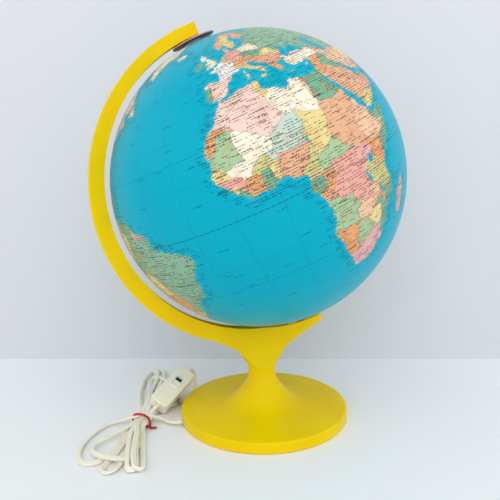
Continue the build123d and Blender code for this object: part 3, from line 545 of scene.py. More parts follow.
# Coastlines as longitude and latitude, with the colour of the land that no country below takes.
LANDS = [
    (PEACH, [(-5.9, 35.8), (-2.9, 35.3), (-1.2, 35.9), (1.5, 36.6), (5.2, 36.8), (8, 37),
     (9.9, 37.3), (11, 37), (10.6, 35.7), (10.1, 34.2), (11.2, 33.2), (13.2, 32.9), (15.2, 32.3),
     (16, 31.3), (18.2, 30.3), (20, 30.9), (20.1, 32.2), (21.7, 32.9), (23.2, 32.2), (25.2, 31.6),
     (28.5, 31), (30, 31.3), (31.2, 31.6), (32.3, 31.2), (32.5, 29.9), (33.5, 27.9), (35.5, 24),
     (36.9, 22), (37.3, 19.5), (38.6, 17.9), (39.7, 15.2), (41.2, 14), (42.7, 12.6), (43.3, 11.6),
     (44.5, 10.5), (47, 11.1), (51.2, 11.9), (50.8, 9.4), (49, 6.5), (47.6, 4.3), (45, 1.9),
     (42.6, -0.4), (40.9, -2.3), (39.4, -4.6), (38.8, -6.3), (39.5, -7.5), (40.5, -10.6),
     (40.6, -14.5), (38, -17), (35.9, -19), (34.8, -20.6), (35.5, -22.5), (35.5, -24.2),
     (32.9, -25.6), (32.9, -27.5), (31.3, -29.5), (29, -32.2), (27, -33.6), (25.6, -34),
     (22, -34.1), (20, -34.8), (18.4, -34.2), (18.2, -32.5), (17, -29.5), (15.2, -26.8),
     (14.5, -23), (12.8, -19.5), (11.8, -17.3), (12.5, -14.8), (13.6, -12.2), (13.1, -8.8),
     (12.2, -6), (11.2, -4), (9, -1.2), (9.4, 0.6), (9.8, 3.2), (9, 4.4), (7, 4.4), (5.8, 4.6),
     (4.6, 6.2), (2, 6.3), (0.6, 5.7), (-2, 4.8), (-4, 5.2), (-7.6, 4.4), (-9.3, 5.8),
     (-11.4, 6.9), (-13.2, 8.6), (-13.7, 9.8), (-15, 11), (-16.6, 12.3), (-16.8, 13.6),
     (-17.5, 14.7), (-16.5, 16), (-16.1, 18.5), (-16.3, 19.8), (-17.05, 20.9), (-16.1, 23.5),
     (-14.5, 26.2), (-13, 27.8), (-11, 28.8), (-9.7, 30), (-9.7, 31.6), (-8, 33.4), (-6.6, 34.3)]),
    (ROSE, [(49.3, -12), (50.4, -15.7), (49.4, -18), (47.8, -23.5), (47, -25), (45, -25.5),
     (43.6, -23), (43.4, -21.5), (44.4, -19.5), (44.2, -16.8), (46.3, -15.7), (48, -13.6)]),
    (PEACH, [(32.3, 31.2), (34.2, 31.3), (35, 32.8), (35.8, 34.8), (35.9, 36.3), (36.1, 36.7),
     (34.6, 36.7), (32.6, 36.1), (30.6, 36.7), (29.2, 36.4), (27.4, 36.8), (26.4, 38.4),
     (26.2, 39.5), (26.2, 40.1), (27.8, 40.4), (26.9, 40.6), (26, 40.7), (24, 40.8), (23.6, 40),
     (22.8, 40.4), (22.9, 39.2), (24, 38.1), (23, 36.6), (21.7, 36.9), (21.2, 38.2), (19.8, 39.8),
     (19.4, 41.8), (17.5, 43), (15.3, 44.2), (13.8, 45.1), (13.5, 45.7), (12.3, 45.2),
     (12.5, 44.1), (14, 42.6), (16, 41.6), (18.4, 40.1), (17, 40.5), (16.6, 39.5), (17.1, 38.9),
     (15.7, 38), (15.9, 39.3), (14.3, 40.7), (12.3, 41.8), (10.3, 43.3), (9.6, 44.1), (8.4, 44.2),
     (7, 43.5), (5, 43.4), (3.1, 43.1), (3.2, 42), (0.8, 41), (-0.3, 39.3), (-0.5, 38.2),
     (-2, 36.8), (-5.3, 36.1), (-6.4, 36.8), (-8.9, 37), (-9.4, 38.7), (-8.7, 41), (-9.2, 43.1),
     (-7.8, 43.7), (-3.8, 43.4), (-1.6, 43.4), (-1.2, 44.8), (-1.3, 46.2), (-2.6, 47.4),
     (-4.6, 48), (-4.6, 48.6), (-1.6, 48.7), (-1.7, 49.7), (0.2, 49.7), (1.6, 50.8), (3.6, 51.5),
     (4.8, 53), (7, 53.6), (8.6, 53.9), (8.2, 55.6), (8.6, 57.1), (10.6, 57.6), (10.3, 56.2),
     (11, 54.3), (13.5, 54.5), (16.5, 54.5), (19, 54.4), (21, 55.3), (21.5, 57.3), (24, 57.2),
     (24.2, 58.5), (23.5, 59.3), (28, 59.6), (29.8, 60), (27.5, 60.5), (23, 60), (21.5, 61.2),
     (21.5, 63), (25, 65), (24, 65.8), (22, 65.6), (21, 63.8), (17.5, 62.2), (17.2, 60.7),
     (18.8, 59.9), (16.5, 57.5), (16, 56.2), (14.3, 55.5), (12.9, 55.5), (11.3, 58.9),
     (10.5, 59.4), (8, 58.1), (5.6, 58.8), (5, 61), (7.5, 63.4), (11, 64.9), (14.5, 67.8),
     (18.5, 69.8), (24, 71), (28.5, 71), (31, 70.3), (33.5, 69.3), (41, 67.3), (40.5, 66.4),
     (34, 66.7), (35, 64.4), (38, 64), (40.5, 64.8), (44, 66.2), (46.5, 67), (45, 68.4),
     (53.5, 68.5), (60.5, 69.8), (65, 69.2), (68.5, 68.4), (67, 70.5), (70, 73), (73, 71.5),
     (73.5, 68), (76, 72), (82, 72.3), (87, 75), (98, 76.5), (104.5, 77.7), (113, 74),
     (127, 73.5), (130, 71), (140, 72.5), (152, 71), (160.5, 69.6), (170.5, 69.5), (180, 68.5),
     (189.5, 66), (185, 64.5), (179, 64.8), (177.5, 62.5), (170.5, 60), (163.5, 60),
     (162.5, 56.5), (156.8, 51.2), (155.6, 56.5), (163.5, 62.3), (157, 61.7), (149, 59.5),
     (142.5, 59.2), (135.3, 54.8), (140.5, 53), (140.3, 48.5), (135.5, 44), (131, 42.8),
     (127.6, 39.6), (129.4, 36.8), (128.6, 35), (126.4, 34.6), (126.6, 37.5), (125, 38.5),
     (121.5, 38.9), (121.5, 40.8), (118, 39), (119, 37.3), (122.5, 37.2), (119.3, 34.9),
     (121.8, 31.5), (121.8, 29.2), (119.5, 25.5), (116.5, 23), (113.5, 22.2), (110.4, 20.9),
     (108.3, 21.6), (105.9, 19), (108.8, 15.3), (109.2, 11.8), (106.8, 10.4), (105, 8.7),
     (104.9, 10.2), (102.5, 12.1), (100.9, 13.4), (99.9, 11.5), (100.5, 7.3), (103.3, 4),
     (104.2, 1.4), (101.3, 2.9), (100.3, 6.2), (98.4, 8.5), (98.6, 13), (97.6, 16.5),
     (95.3, 15.8), (94.3, 18.5), (92, 21.6), (89, 21.8), (86.9, 20.7), (82.3, 16.7), (80.2, 15),
     (80, 12), (78.2, 8.8), (77.5, 8.1), (76.2, 10.2), (74.4, 14.8), (72.8, 19.2), (72.6, 21.3),
     (70.5, 20.9), (69, 22.3), (67, 24.8), (61.5, 25.2), (57.2, 26), (54.5, 26.6), (51.3, 27.9),
     (50, 30.1), (48, 30), (48.5, 28.2), (50.2, 26.5), (51.6, 25.6), (51.6, 24.4), (54.3, 24.2),
     (56.3, 26.2), (56.8, 24.2), (59.8, 22.4), (57.8, 19), (55.2, 17.3), (52.2, 15.6),
     (48.7, 14), (45, 12.8), (43.4, 12.7), (42.8, 15.8), (41, 18), (39.1, 21), (37.3, 24.5),
     (35.2, 28.1), (34.9, 29.5), (34.2, 27.8), (32.5, 29.9)]),
    (CREAM, [(-5.6, 50.1), (-3.5, 50.3), (0.5, 50.8), (1.4, 51.3), (0.8, 51.7), (1.7, 52.6),
     (0.3, 53.1), (-0.2, 54.2), (-1.6, 55.3), (-3, 56), (-2, 57.6), (-3.9, 57.7), (-3.1, 58.6),
     (-5, 58.6), (-6.1, 56.8), (-5, 55), (-3.2, 54.9), (-3.1, 53.4), (-4.6, 53.2), (-4.3, 52.3),
     (-5.2, 51.8), (-3.1, 51.4)]),
    (GREEN, [(-6.1, 53.4), (-6.4, 52.2), (-9.8, 51.6), (-9.9, 53.4), (-8.4, 54.4), (-7.3, 55.3),
     (-5.6, 54.6)]),
    (CREAM, [(-22.5, 63.9), (-18.7, 63.4), (-14.7, 64.4), (-14.8, 65.8), (-18, 66.1),
     (-22.4, 66.4), (-24.3, 65.5), (-21.8, 64.4)]),
    (YELLOW, [(12.5, 38), (15.6, 38.2), (15.1, 36.7)]),
    (YELLOW, [(8.2, 39), (9.6, 39.2), (9.7, 41), (8.3, 40.9)]),
    (WHITE, [(8.7, 41.6), (9.4, 41.8), (9.4, 42.9), (8.6, 42.4)]),
    (SALMON, [(23.6, 35.4), (26.2, 35.2), (24.8, 34.8)]),
    (CREAM, [(32.4, 34.9), (34.5, 35.6), (33.7, 34.8)]),
    (CREAM, [(-44, 60), (-50.5, 62), (-53.5, 67), (-54.5, 70.5), (-59, 75.5), (-69, 76.5),
     (-71, 78.3), (-62, 81.5), (-40, 83), (-25, 82), (-13, 81.5), (-19, 78.5), (-19.5, 75),
     (-24, 71.5), (-31, 68.3), (-39.5, 65.5), (-42.5, 62.5)]),
    (MINT, [(-168, 65.6), (-162, 66.5), (-166.5, 68.3), (-156.5, 71.3), (-141, 69.6),
     (-128, 70.3), (-115, 68.8), (-108, 67.9), (-96, 68.2), (-94, 71.8), (-86, 69.6),
     (-81.5, 69), (-82, 67), (-87, 64.5), (-94, 61), (-92.5, 57), (-85, 55.3), (-82.2, 52.9),
     (-79.5, 51.3), (-79, 54.5), (-77, 57.5), (-78, 62.4), (-72, 61.2), (-65, 59.5),
     (-61.5, 56.5), (-56, 53), (-60, 50.3), (-66.5, 50.2), (-70.5, 47.2), (-65, 49.1),
     (-64.5, 46.5), (-61, 45.5), (-66, 43.6), (-67, 44.8), (-70.5, 43.3), (-70, 41.8),
     (-74, 40.6), (-75.8, 37), (-75.8, 35.3), (-79.5, 33), (-81.4, 30.8), (-80.1, 27),
     (-80.6, 25.2), (-82.7, 28), (-84.5, 30), (-89.5, 29.3), (-94.5, 29.4), (-97.3, 27.5),
     (-97.8, 22.5), (-95.5, 18.5), (-91.5, 18.6), (-90.3, 21.1), (-87, 21.3), (-88.3, 17),
     (-88.5, 15.8), (-83.3, 15), (-83.7, 11), (-81.5, 9), (-79.6, 9.5), (-77.4, 8.6),
     (-80.4, 7.4), (-83.5, 8.6), (-85.8, 10.1), (-87.6, 13), (-92.2, 14.5), (-96.5, 15.7),
     (-101.5, 17.7), (-105.5, 20.3), (-106, 22.8), (-109.4, 26), (-112.8, 30.3), (-114.8, 31.6),
     (-112.8, 28), (-109.5, 23.2), (-112.1, 25.2), (-115, 28), (-117.1, 32.5), (-120.6, 34.6),
     (-122.4, 37.5), (-124.2, 40.5), (-124, 46), (-123, 49), (-127.8, 51.5), (-130.5, 54.6),
     (-135.5, 58.5), (-142, 60), (-148.5, 60.2), (-152, 59.2), (-158, 56.2), (-164.5, 54.6),
     (-158, 58.6), (-162, 59.8), (-166, 62), (-161, 64.2), (-166, 64.5)]),
    (PINK_CREAM, [(-66, 62.4), (-76.5, 65.2), (-75, 67.5), (-88, 70.5), (-87, 73.3), (-80, 73.4),
     (-68, 70), (-63, 66.8), (-67, 64.4)]),
    (PINK_CREAM, [(-117, 70), (-105, 69), (-101.5, 70), (-105, 73), (-117, 73.2)]),
    (PINK_CREAM, [(-90, 76.5), (-80, 76.5), (-62, 82.4), (-72, 83.1), (-92, 81)]),
    (PINK_CREAM, [(-59.3, 47.7), (-53, 46.7), (-53.5, 48.5), (-55.8, 51.5), (-57.5, 50.5)]),
    (ROSE, [(-84.6, 21.6), (-82.5, 23.2), (-77.5, 22.3), (-74.4, 20.6), (-77.4, 19.9),
     (-80, 21.2)]),
    (GREEN, [(-74.4, 18.4), (-73, 19.9), (-69.9, 19.6), (-68.4, 18.6), (-71.5, 17.9)]),
    (OCHRE, [(-77.4, 8.6), (-75.5, 10.7), (-71.7, 12.4), (-71.5, 10.8), (-68.2, 10.7),
     (-62.5, 10.7), (-60, 8.5), (-57, 6), (-52.5, 5.2), (-51, 4), (-50, 1), (-48.5, -0.8),
     (-44.3, -2.6), (-41.3, -2.9), (-37.2, -4.8), (-35.3, -5.3), (-34.8, -7.8), (-37, -11),
     (-39, -13.5), (-39.2, -17.7), (-41, -22), (-44.7, -23.1), (-48.5, -25.9), (-48.7, -28.5),
     (-52.2, -32.3), (-54.9, -34.9), (-58.3, -34), (-56.9, -36.4), (-57.6, -38.1), (-62.1, -39),
     (-65, -41), (-63.8, -42.6), (-67.4, -46), (-65.8, -47.8), (-69, -51), (-65.2, -54.7),
     (-70.5, -55.2), (-75, -50.5), (-73.5, -42), (-71.5, -30), (-70.3, -18.4), (-76.2, -14),
     (-79.8, -7), (-81.3, -4.5), (-80, -2.5), (-80.5, 0), (-77.2, 3.7), (-77.5, 7)]),
    (PEACH, [(113.7, -22.5), (122.2, -18.2), (126.8, -14), (129.8, -15), (132.5, -11.5),
     (136.8, -12.2), (135.5, -15), (139.5, -17.5), (141.5, -13.5), (142.5, -10.8), (145.3, -15),
     (149.5, -22), (153.4, -25.5), (153, -31), (150.2, -36.5), (146.5, -39), (140.5, -38),
     (138, -34), (135.8, -34.8), (131.3, -31.5), (124, -33.3), (118, -35), (115.2, -34.2),
     (115.8, -31.5)]),
    (YELLOW, [(144.8, -40.8), (148.3, -40.9), (147.5, -43.3), (145.8, -43.2)]),
    (GREEN, [(131, -0.8), (134.2, -0.8), (138, -1.8), (145, -4.5), (147.2, -6.5), (150.5, -10.4),
     (146.5, -8.8), (143, -9.2), (138.5, -8.2), (137.8, -5.4), (132.8, -4)]),
    (ROSE, [(109, 1.5), (111.5, 2.4), (115.5, 5.2), (117, 7), (119.2, 5.2), (117.6, 1),
     (116, -3.8), (110.2, -2.9)]),
    (ROSE, [(95.3, 5.6), (98.5, 3.8), (103.5, 0), (106, -3), (105.6, -5.8), (101, -2.6),
     (98.6, 1.6)]),
    (ROSE, [(105.2, -6.8), (110.5, -6.5), (114.4, -7.8), (114, -8.7), (108, -7.7)]),
    (ROSE, [(119.4, -5.4), (119, -2.5), (120.5, 1.2), (125, 1.5), (121, 0.3), (123, -4.5),
     (120.6, -3)]),
    (YELLOW, [(120.6, 18.4), (122.2, 18.4), (121.8, 15.8), (124, 13), (125.3, 10.5),
     (126.3, 7.5), (125.4, 5.8), (122.2, 7), (123.5, 10.5), (120.6, 14)]),
    (ORANGE, [(130.2, 31.3), (131.8, 33.2), (135.6, 33.6), (140.3, 35.2), (141.8, 39.5),
     (140.5, 41.3), (139.5, 38.5), (136.5, 36.8), (132.5, 35.4), (130.2, 33.4)]),
    (ORANGE, [(140.2, 41.8), (143.2, 42.1), (145.5, 43.4), (141.8, 45.4)]),
    (MINT, [(142, 46.5), (143.5, 49), (143.3, 52.5), (142.5, 54.2), (141.9, 50.5)]),
    (GREEN, [(120.2, 22.8), (120.9, 22), (121.9, 25), (120.9, 24.8)]),
    (YELLOW, [(79.8, 8), (80.2, 9.6), (81.8, 7.3), (80.4, 6)]),
    (GREEN, [(172.8, -34.5), (175.5, -36.8), (178.4, -37.8), (176.9, -40), (175.2, -41.6),
     (174, -39.3), (174.6, -37)]),
    (GREEN, [(172.8, -40.6), (174.2, -41.8), (171.2, -44.2), (170.5, -46.2), (166.8, -46),
     (170, -43.2)]),
    (ORANGE, [(11.5, 79), (15, 77), (19, 78.5), (26, 80.2), (15, 80)]),
    (MINT, [(52, 71.2), (57.5, 70.8), (56.5, 73.5), (68.5, 76.7), (59, 76)]),
    (WHITE, [(-169.5, -78.2), (-150, -77.5), (-125, -74), (-100, -73.5), (-75, -73),
     (-62, -64.5), (-61, -72), (-62, -75), (-45, -78.5), (-30, -76), (-12, -71.3), (10, -69.8),
     (40, -69.5), (55, -66), (75, -69.5), (90, -66.5), (130, -66.3), (150, -68.4), (170, -72),
     (163, -77.5), (189.5, -78.2), (189.5, -83.6), (-169.5, -83.6)]),
]

# Inland seas and lakes.
WATERS = [
    [(28, 42), (28.7, 43.8), (30.7, 46.5), (33.5, 46.1), (32.6, 45.3), (33.6, 44.4),
     (36.5, 45.3), (35, 46.3), (39, 47.2), (37.5, 45.2), (41.5, 42), (39.5, 41), (36, 41.7),
     (33, 42), (31.3, 41.2), (29.1, 41.2)],
    [(47, 44.8), (51, 47), (53, 46.8), (51.3, 44.5), (52.8, 41.5), (54, 39.5), (53.9, 36.9),
     (50.5, 37.2), (49.3, 38.5), (49.5, 40.5), (47.6, 42.8)],
    [(58.5, 45.6), (61.5, 46.5), (60.2, 43.7), (58.4, 43.9)],
    [(104, 51.6), (109.8, 55.6), (108.5, 52.8)],
    [(31.8, -0.8), (33, 0.4), (34.2, -0.2), (33.4, -2.3), (32, -2.4)],
    [(29.3, -3.4), (29.9, -5), (31, -8.6), (30.4, -8.2), (29.2, -5.5)],
    [(34, -9.6), (34.9, -11.8), (35.1, -14.3), (34.4, -13)],
    [(13.6, 13.8), (14.6, 14), (14.9, 12.7), (14, 12.7)],
    [(-92, 46.5), (-88.5, 48.9), (-84.8, 47.6), (-86, 46.3)],
    [(-87.9, 42), (-87, 45.7), (-84.5, 46), (-81.3, 45.9), (-82.4, 43.1), (-84, 44.5),
     (-85.4, 45.2), (-86.2, 42.4)],
    [(-83.2, 41.8), (-79.2, 43.7), (-76.3, 44.1), (-79.2, 42.7)],
]

# Countries as rough outlines that run out over the sea; the coast cuts them off.
COUNTRIES = [
    (PINK_CREAM, [(-18, 27.7), (-8.7, 27.7), (-8.7, 28.8), (-5, 30.5), (-3.5, 31.5), (-1.2, 32.4),
     (-1.8, 35.6), (-3, 35.95), (-7, 35.95), (-18, 30)]),
    (ORANGE, [(-18.5, 20.8), (-13, 21.3), (-13, 23.5), (-12, 23.5), (-12, 26), (-8.7, 26),
     (-8.7, 27.7), (-19, 27.7)]),
    (PINK_CREAM, [(-8.7, 27.7), (-8.7, 28.8), (-5, 30.5), (-3.5, 31.5), (-1.2, 32.4),
     (-1.8, 35.6), (-1, 38), (8.6, 38), (8.4, 36.6), (7.6, 33.8), (9.1, 32.2), (9.5, 30.2),
     (9.9, 26.5), (12, 23.5), (5.8, 19.5), (3.2, 19), (3.2, 19.7), (1.2, 21.1), (-4.8, 25)]),
    (YELLOW, [(8.6, 37.6), (8.4, 36.6), (7.6, 33.8), (9.1, 32.2), (9.5, 30.2), (11.5, 32.4),
     (12.2, 33.8), (11.8, 37.6)]),
    (CREAM, [(9.5, 30.2), (9.9, 26.5), (12, 23.5), (14.2, 22.6), (15.9, 23.4), (24, 19.5),
     (24, 20), (25, 22), (25, 31.8), (25, 34), (12, 34.5), (11.5, 32.4)]),
    (GREEN, [(25, 22), (37.5, 22), (37.5, 24), (35, 27.9), (34.9, 29.5), (34.2, 31.3), (34, 33),
     (25, 33)]),
    (PALE_GREEN, [(-18.5, 20.8), (-13, 21.3), (-13, 23.5), (-12, 23.5), (-12, 26), (-8.7, 26),
     (-8.7, 27.3), (-4.8, 25), (-6.5, 25), (-5.5, 15.5), (-9.3, 15.5), (-12.2, 14.8),
     (-16.5, 16.3), (-18.5, 16.5)]),
    (YELLOW, [(-18.5, 16.5), (-16.5, 16.3), (-14.8, 16.6), (-12.2, 14.8), (-11.4, 12.4),
     (-18.5, 12.4)]),
    (CREAM, [(-6.5, 25), (-4.8, 25), (1.2, 21.1), (3.2, 19.7), (4.2, 19.1), (4.2, 16.8),
     (3.5, 15.4), (0.2, 15), (-0.7, 15.1), (-3, 13.7), (-5.3, 11.8), (-5.5, 10.4), (-8, 10.2),
     (-8.6, 11.4), (-11.4, 12.4), (-12.2, 14.8), (-9.3, 15.5), (-5.5, 15.5)]),
    (ROSE, [(-18, 12.4), (-11.4, 12.4), (-8.6, 11.4), (-8, 10.2), (-8, 7.6), (-9.4, 7.4),
     (-10.3, 8.5), (-11.2, 10), (-13.3, 9.1), (-18, 9)]),
    (YELLOW, [(-15, 9.1), (-13.3, 9.1), (-11.2, 10), (-10.3, 8.5), (-11.4, 6.9), (-14, 6.5)]),
    (GREEN, [(-11.4, 6.9), (-10.3, 8.5), (-9.4, 7.4), (-8.3, 6.6), (-7.5, 5.8), (-7.6, 3.5),
     (-12, 5)]),
    (ORANGE, [(-8, 10.2), (-5.5, 10.4), (-2.8, 9.8), (-3.2, 6.3), (-2.8, 5.1), (-3, 3),
     (-7.6, 3.5), (-7.5, 5.8), (-8.3, 6.6), (-8, 7.6)]),
    (OLIVE, [(-5.5, 10.4), (-5.3, 11.8), (-3, 13.7), (-0.7, 15.1), (0.2, 15), (2.3, 12.4),
     (0.9, 11), (-2.8, 11), (-2.8, 9.8)]),
    (GREEN, [(-2.8, 11), (0, 11.1), (0.5, 8), (1.2, 6.1), (1, 4), (-3, 4), (-2.8, 5.1),
     (-3.2, 6.3), (-2.8, 9.8)]),
    (YELLOW, [(0, 11.1), (0.9, 11), (2.3, 12.4), (3.6, 11.7), (2.7, 8), (2.7, 6.2), (2.5, 4),
     (1, 4), (1.2, 6.1), (0.5, 8)]),
    (BLUE_GREEN, [(4.2, 19.1), (5.8, 19.5), (12, 23.5), (14.2, 22.6), (15.9, 23.4), (15.5, 20.8),
     (15.9, 20.3), (15.6, 16.9), (13.5, 14.4), (13.5, 13.5), (9.5, 12.8), (6.8, 13.1),
     (4.1, 13.5), (3.6, 11.7), (2.3, 12.4), (0.2, 15), (3.5, 15.4), (4.2, 16.8)]),
    (SALMON, [(2.7, 6.2), (2.7, 8), (3.6, 11.7), (4.1, 13.5), (6.8, 13.1), (9.5, 12.8),
     (13.5, 13.5), (14.2, 12.4), (13.2, 10), (11.5, 7), (8.8, 5.5), (8.5, 4.6), (8, 3), (3, 4)]),
    (OLIVE, [(8.5, 4.6), (8.8, 5.5), (11.5, 7), (13.2, 10), (14.2, 12.4), (15, 12.1),
     (15.5, 9.9), (14.4, 9.9), (15.2, 7.3), (14.5, 5), (16.1, 2.2), (8, 2.2)]),
    (YELLOW, [(15.9, 23.4), (24, 19.5), (24, 15.7), (22, 13), (22.5, 11), (19, 9), (15.5, 7.5),
     (15.2, 7.3), (14.4, 9.9), (15.5, 9.9), (15, 12.1), (14.2, 12.4), (13.5, 13.5),
     (13.5, 14.4), (15.6, 16.9), (15.9, 20.3), (15.5, 20.8)]),
    (SALMON, [(25, 22), (37.5, 22), (38.6, 18), (36.9, 17), (36.3, 14.5), (35, 12.5),
     (34.1, 10.5), (33, 8), (35.3, 5.5), (34, 4.2), (30.8, 3.5), (27.4, 5), (24, 8.7),
     (22.5, 11), (22, 13), (24, 15.7), (24, 20)]),
    (PEACH, [(36.3, 14.5), (36.9, 17), (38.6, 18), (43.3, 12.4), (41.8, 11), (43, 9.3),
     (47.9, 8), (45, 5), (42, 4.2), (39.5, 3.5), (36, 4.4), (35.3, 5.5), (33, 8),
     (34.1, 10.5), (35, 12.5)]),
    (GREEN, [(43.3, 12.4), (41.8, 11), (43, 9.3), (47.9, 8), (45, 5), (42, 4.2), (41, 2.8),
     (41, -0.9), (41.5, -2), (46, -1), (54, 10), (52, 12.5)]),
    (ORANGE, [(34, 4.2), (35.3, 5.5), (36, 4.4), (39.5, 3.5), (42, 4.2), (41, 2.8), (41, -0.9),
     (41.5, -2), (39.2, -4.7), (37.6, -3), (34, -1), (35, 1.8)]),
    (MAUVE, [(30.8, 3.5), (34, 4.2), (35, 1.8), (34, -1), (29.6, -1.3), (30, 1)]),
    (PALE_GREEN, [(15.2, 7.3), (15.5, 7.5), (19, 9), (22.5, 11), (24, 8.7), (27.4, 5),
     (22.5, 4.1), (18.6, 4.3), (18, 3.5), (16.1, 2.2), (14.5, 5)]),
    (ROSE, [(27.4, 5), (30.8, 3.5), (30, 1), (29.6, -1.3), (29.3, -4.5), (30.8, -8.3),
     (28.7, -8.5), (28.5, -12.2), (29.8, -13.4), (27.2, -12), (24.2, -11), (21.9, -11.2),
     (21.8, -7.3), (17.5, -8), (16.5, -5.9), (12.3, -6.1), (11, -6), (12.5, -4.7), (15.8, -4),
     (17.8, -0.5), (18, 3.5), (18.6, 4.3), (22.5, 4.1)]),
    (ORANGE, [(16.1, 2.2), (18, 3.5), (17.8, -0.5), (15.8, -4), (12.5, -4.7), (11, -6),
     (10, -4), (11.3, -3), (14.2, -2.3), (14.2, 1.2), (13.3, 2.2)]),
    (GREEN, [(8, 2.2), (13.3, 2.2), (14.2, 1.2), (14.2, -2.3), (11.3, -3), (10, -4), (7, -2)]),
    (PALE_GREEN, [(12.3, -6.1), (16.5, -5.9), (17.5, -8), (21.8, -7.3), (21.9, -11.2),
     (24, -10.9), (24, -13), (22, -13), (22, -16.2), (23.4, -17.6), (18.5, -17.4), (14, -17.4),
     (11, -17.2), (11, -6)]),
    (PEACH, [(24, -10.9), (27.2, -12), (29.8, -13.4), (28.5, -12.2), (28.7, -8.5), (30.8, -8.3),
     (33.2, -9.5), (33, -13.5), (30.3, -15.6), (27, -18), (25, -17.7), (23.4, -17.6),
     (22, -16.2), (22, -13), (24, -13)]),
    (OLIVE, [(30.8, -8.3), (29.3, -4.5), (30.5, -2.4), (30.8, -1), (34, -1), (37.6, -3),
     (39.2, -4.7), (42, -5), (42, -10.5), (40.5, -10.5), (37.5, -11.7), (34.7, -11.5),
     (33.2, -9.5)]),
    (ORANGE, [(33.2, -9.5), (34.7, -11.5), (35.9, -14.8), (35.3, -17.1), (34.4, -14.5),
     (33, -13.5)]),
    (GREEN, [(40.5, -10.5), (42, -10.5), (42, -18), (36, -27), (32, -26.8), (31.9, -24),
     (31.3, -22.4), (32.8, -20), (32.8, -16.6), (30.3, -15.6), (33, -13.5), (34.4, -14.5),
     (35.3, -17.1), (35.9, -14.8), (34.7, -11.5), (37.5, -11.7)]),
    (YELLOW, [(25.2, -17.8), (27, -18), (30.3, -15.6), (32.8, -16.6), (32.8, -20),
     (31.3, -22.4), (29.3, -22.2), (27, -20)]),
    (PALE_GREEN, [(25.2, -17.8), (27, -20), (29.3, -22.2), (26.5, -24.5), (23, -25.3),
     (20.8, -26.8), (20, -24.8), (20, -22), (21, -22), (21, -18.3)]),
    (ORANGE, [(11, -17.2), (18.5, -17.4), (23.4, -17.6), (25, -17.8), (21, -18.3), (21, -22),
     (20, -22), (20, -28.4), (16.5, -28.6), (14, -29)]),
    (MAUVE, [(14, -29), (16.5, -28.6), (20, -28.4), (20, -24.8), (20.8, -26.8), (23, -25.3),
     (26.5, -24.5), (29.3, -22.2), (31.3, -22.4), (31.9, -24), (32, -26.8), (36, -27),
     (32, -36), (14, -36)]),
    (YELLOW, [(27, -29.6), (28.6, -28.6), (29.4, -29.4), (28.2, -30.6)]),
    (PINK_CREAM, [(-10, 44.5), (-1.6, 43.4), (3.3, 42.4), (4.5, 40), (-1, 36.3), (-5.4, 36),
     (-10, 36.3)]),
    (GREEN, [(-10, 42), (-8.2, 42.1), (-6.4, 41.8), (-7, 39.5), (-7.4, 37.1), (-10, 36.5)]),
    (WHITE, [(-6, 49), (-1.8, 50), (1.3, 51), (2.6, 51), (6.1, 49.5), (8.2, 49), (7.6, 47.6),
     (6.1, 46.2), (7, 45.5), (7.6, 43.8), (5, 42), (3.3, 42.4), (-1.6, 43.4), (-4, 45)]),
    (YELLOW, [(7, 45.5), (7.6, 43.8), (10, 41.5), (15.5, 37.8), (19, 39.5), (18.6, 41),
     (13.6, 45.6), (12, 46.8), (10.4, 46.6), (8.5, 46.2)]),
    (ORANGE, [(6.1, 46.2), (7.6, 47.6), (13, 48.5), (17, 48), (16.5, 46.4), (12, 46.8),
     (10.4, 46.6), (8.5, 46.2), (7, 45.5)]),
    (ROSE, [(6.1, 49.5), (6.1, 51.8), (7, 53.7), (8.6, 55), (14.2, 54.2), (15, 51),
     (12.3, 50.3), (13.8, 48.7), (13, 48.5), (7.6, 47.6), (8.2, 49)]),
    (OLIVE, [(2.6, 51), (3.4, 51.6), (4.7, 53.2), (7, 53.7), (6.1, 51.8), (6.1, 49.5)]),
    (CREAM, [(14.2, 54.2), (19, 54.8), (23, 54.3), (24, 50.6), (22.6, 49.3), (15, 51)]),
    (GREEN, [(12.3, 50.3), (15, 51), (22.6, 49.3), (22, 47.9), (20, 46.1), (16.5, 46.4),
     (17, 48), (13, 48.5), (13.8, 48.7)]),
    (SALMON, [(13.6, 45.6), (16.5, 46.4), (20, 46.1), (22.7, 44.5), (22.5, 42.3), (22.9, 41.2),
     (20.8, 40.9), (19.4, 41.9), (15, 43)]),
    (YELLOW, [(20, 46.1), (22, 47.9), (26.7, 48.2), (28.2, 45.5), (29.8, 45.2), (28.6, 43.8),
     (22.7, 44.2)]),
    (ROSE, [(22.7, 44.2), (28.6, 43.8), (28, 42), (26, 41.7), (22.9, 41.3), (22.5, 42.3)]),
    (ORANGE, [(19.3, 41.9), (20.8, 40.9), (22.9, 41.3), (26.3, 41.7), (26.2, 40.6), (25.5, 37),
     (23, 36), (19, 38)]),
    (MINT, [(22, 54.5), (21, 57.5), (23, 59.5), (28, 60), (30, 62.5), (29, 69.5), (35, 75),
     (60, 82), (189.5, 82), (189.5, 63), (180, 50), (155, 45), (146, 44), (135, 42.5),
     (131, 42.6), (135, 48.5), (120, 53), (117, 49.6), (98, 50.5), (87.5, 49), (80, 45),
     (80, 42), (74, 39.5), (71, 36.8), (66, 37.5), (61, 36.5), (54, 37.3), (49, 38.5),
     (45, 39.5), (43.5, 41.1), (41.5, 41.5), (36, 43.5), (29.5, 45.3), (28.2, 45.5),
     (26.7, 48.2), (22, 47.9), (24, 50.6), (23, 54.3)]),
    (SALMON, [(4, 58), (11.2, 58.9), (12.5, 61), (12.5, 64), (16, 68), (20.5, 69), (26, 69.8),
     (29, 69.3), (31, 70.3), (28, 72), (12, 68), (3, 62)]),
    (YELLOW, [(11.2, 58.9), (12.5, 61), (12.5, 64), (16, 68), (20.5, 69), (24, 65.8), (21, 63),
     (19.5, 60), (17, 55.5), (12.6, 55)]),
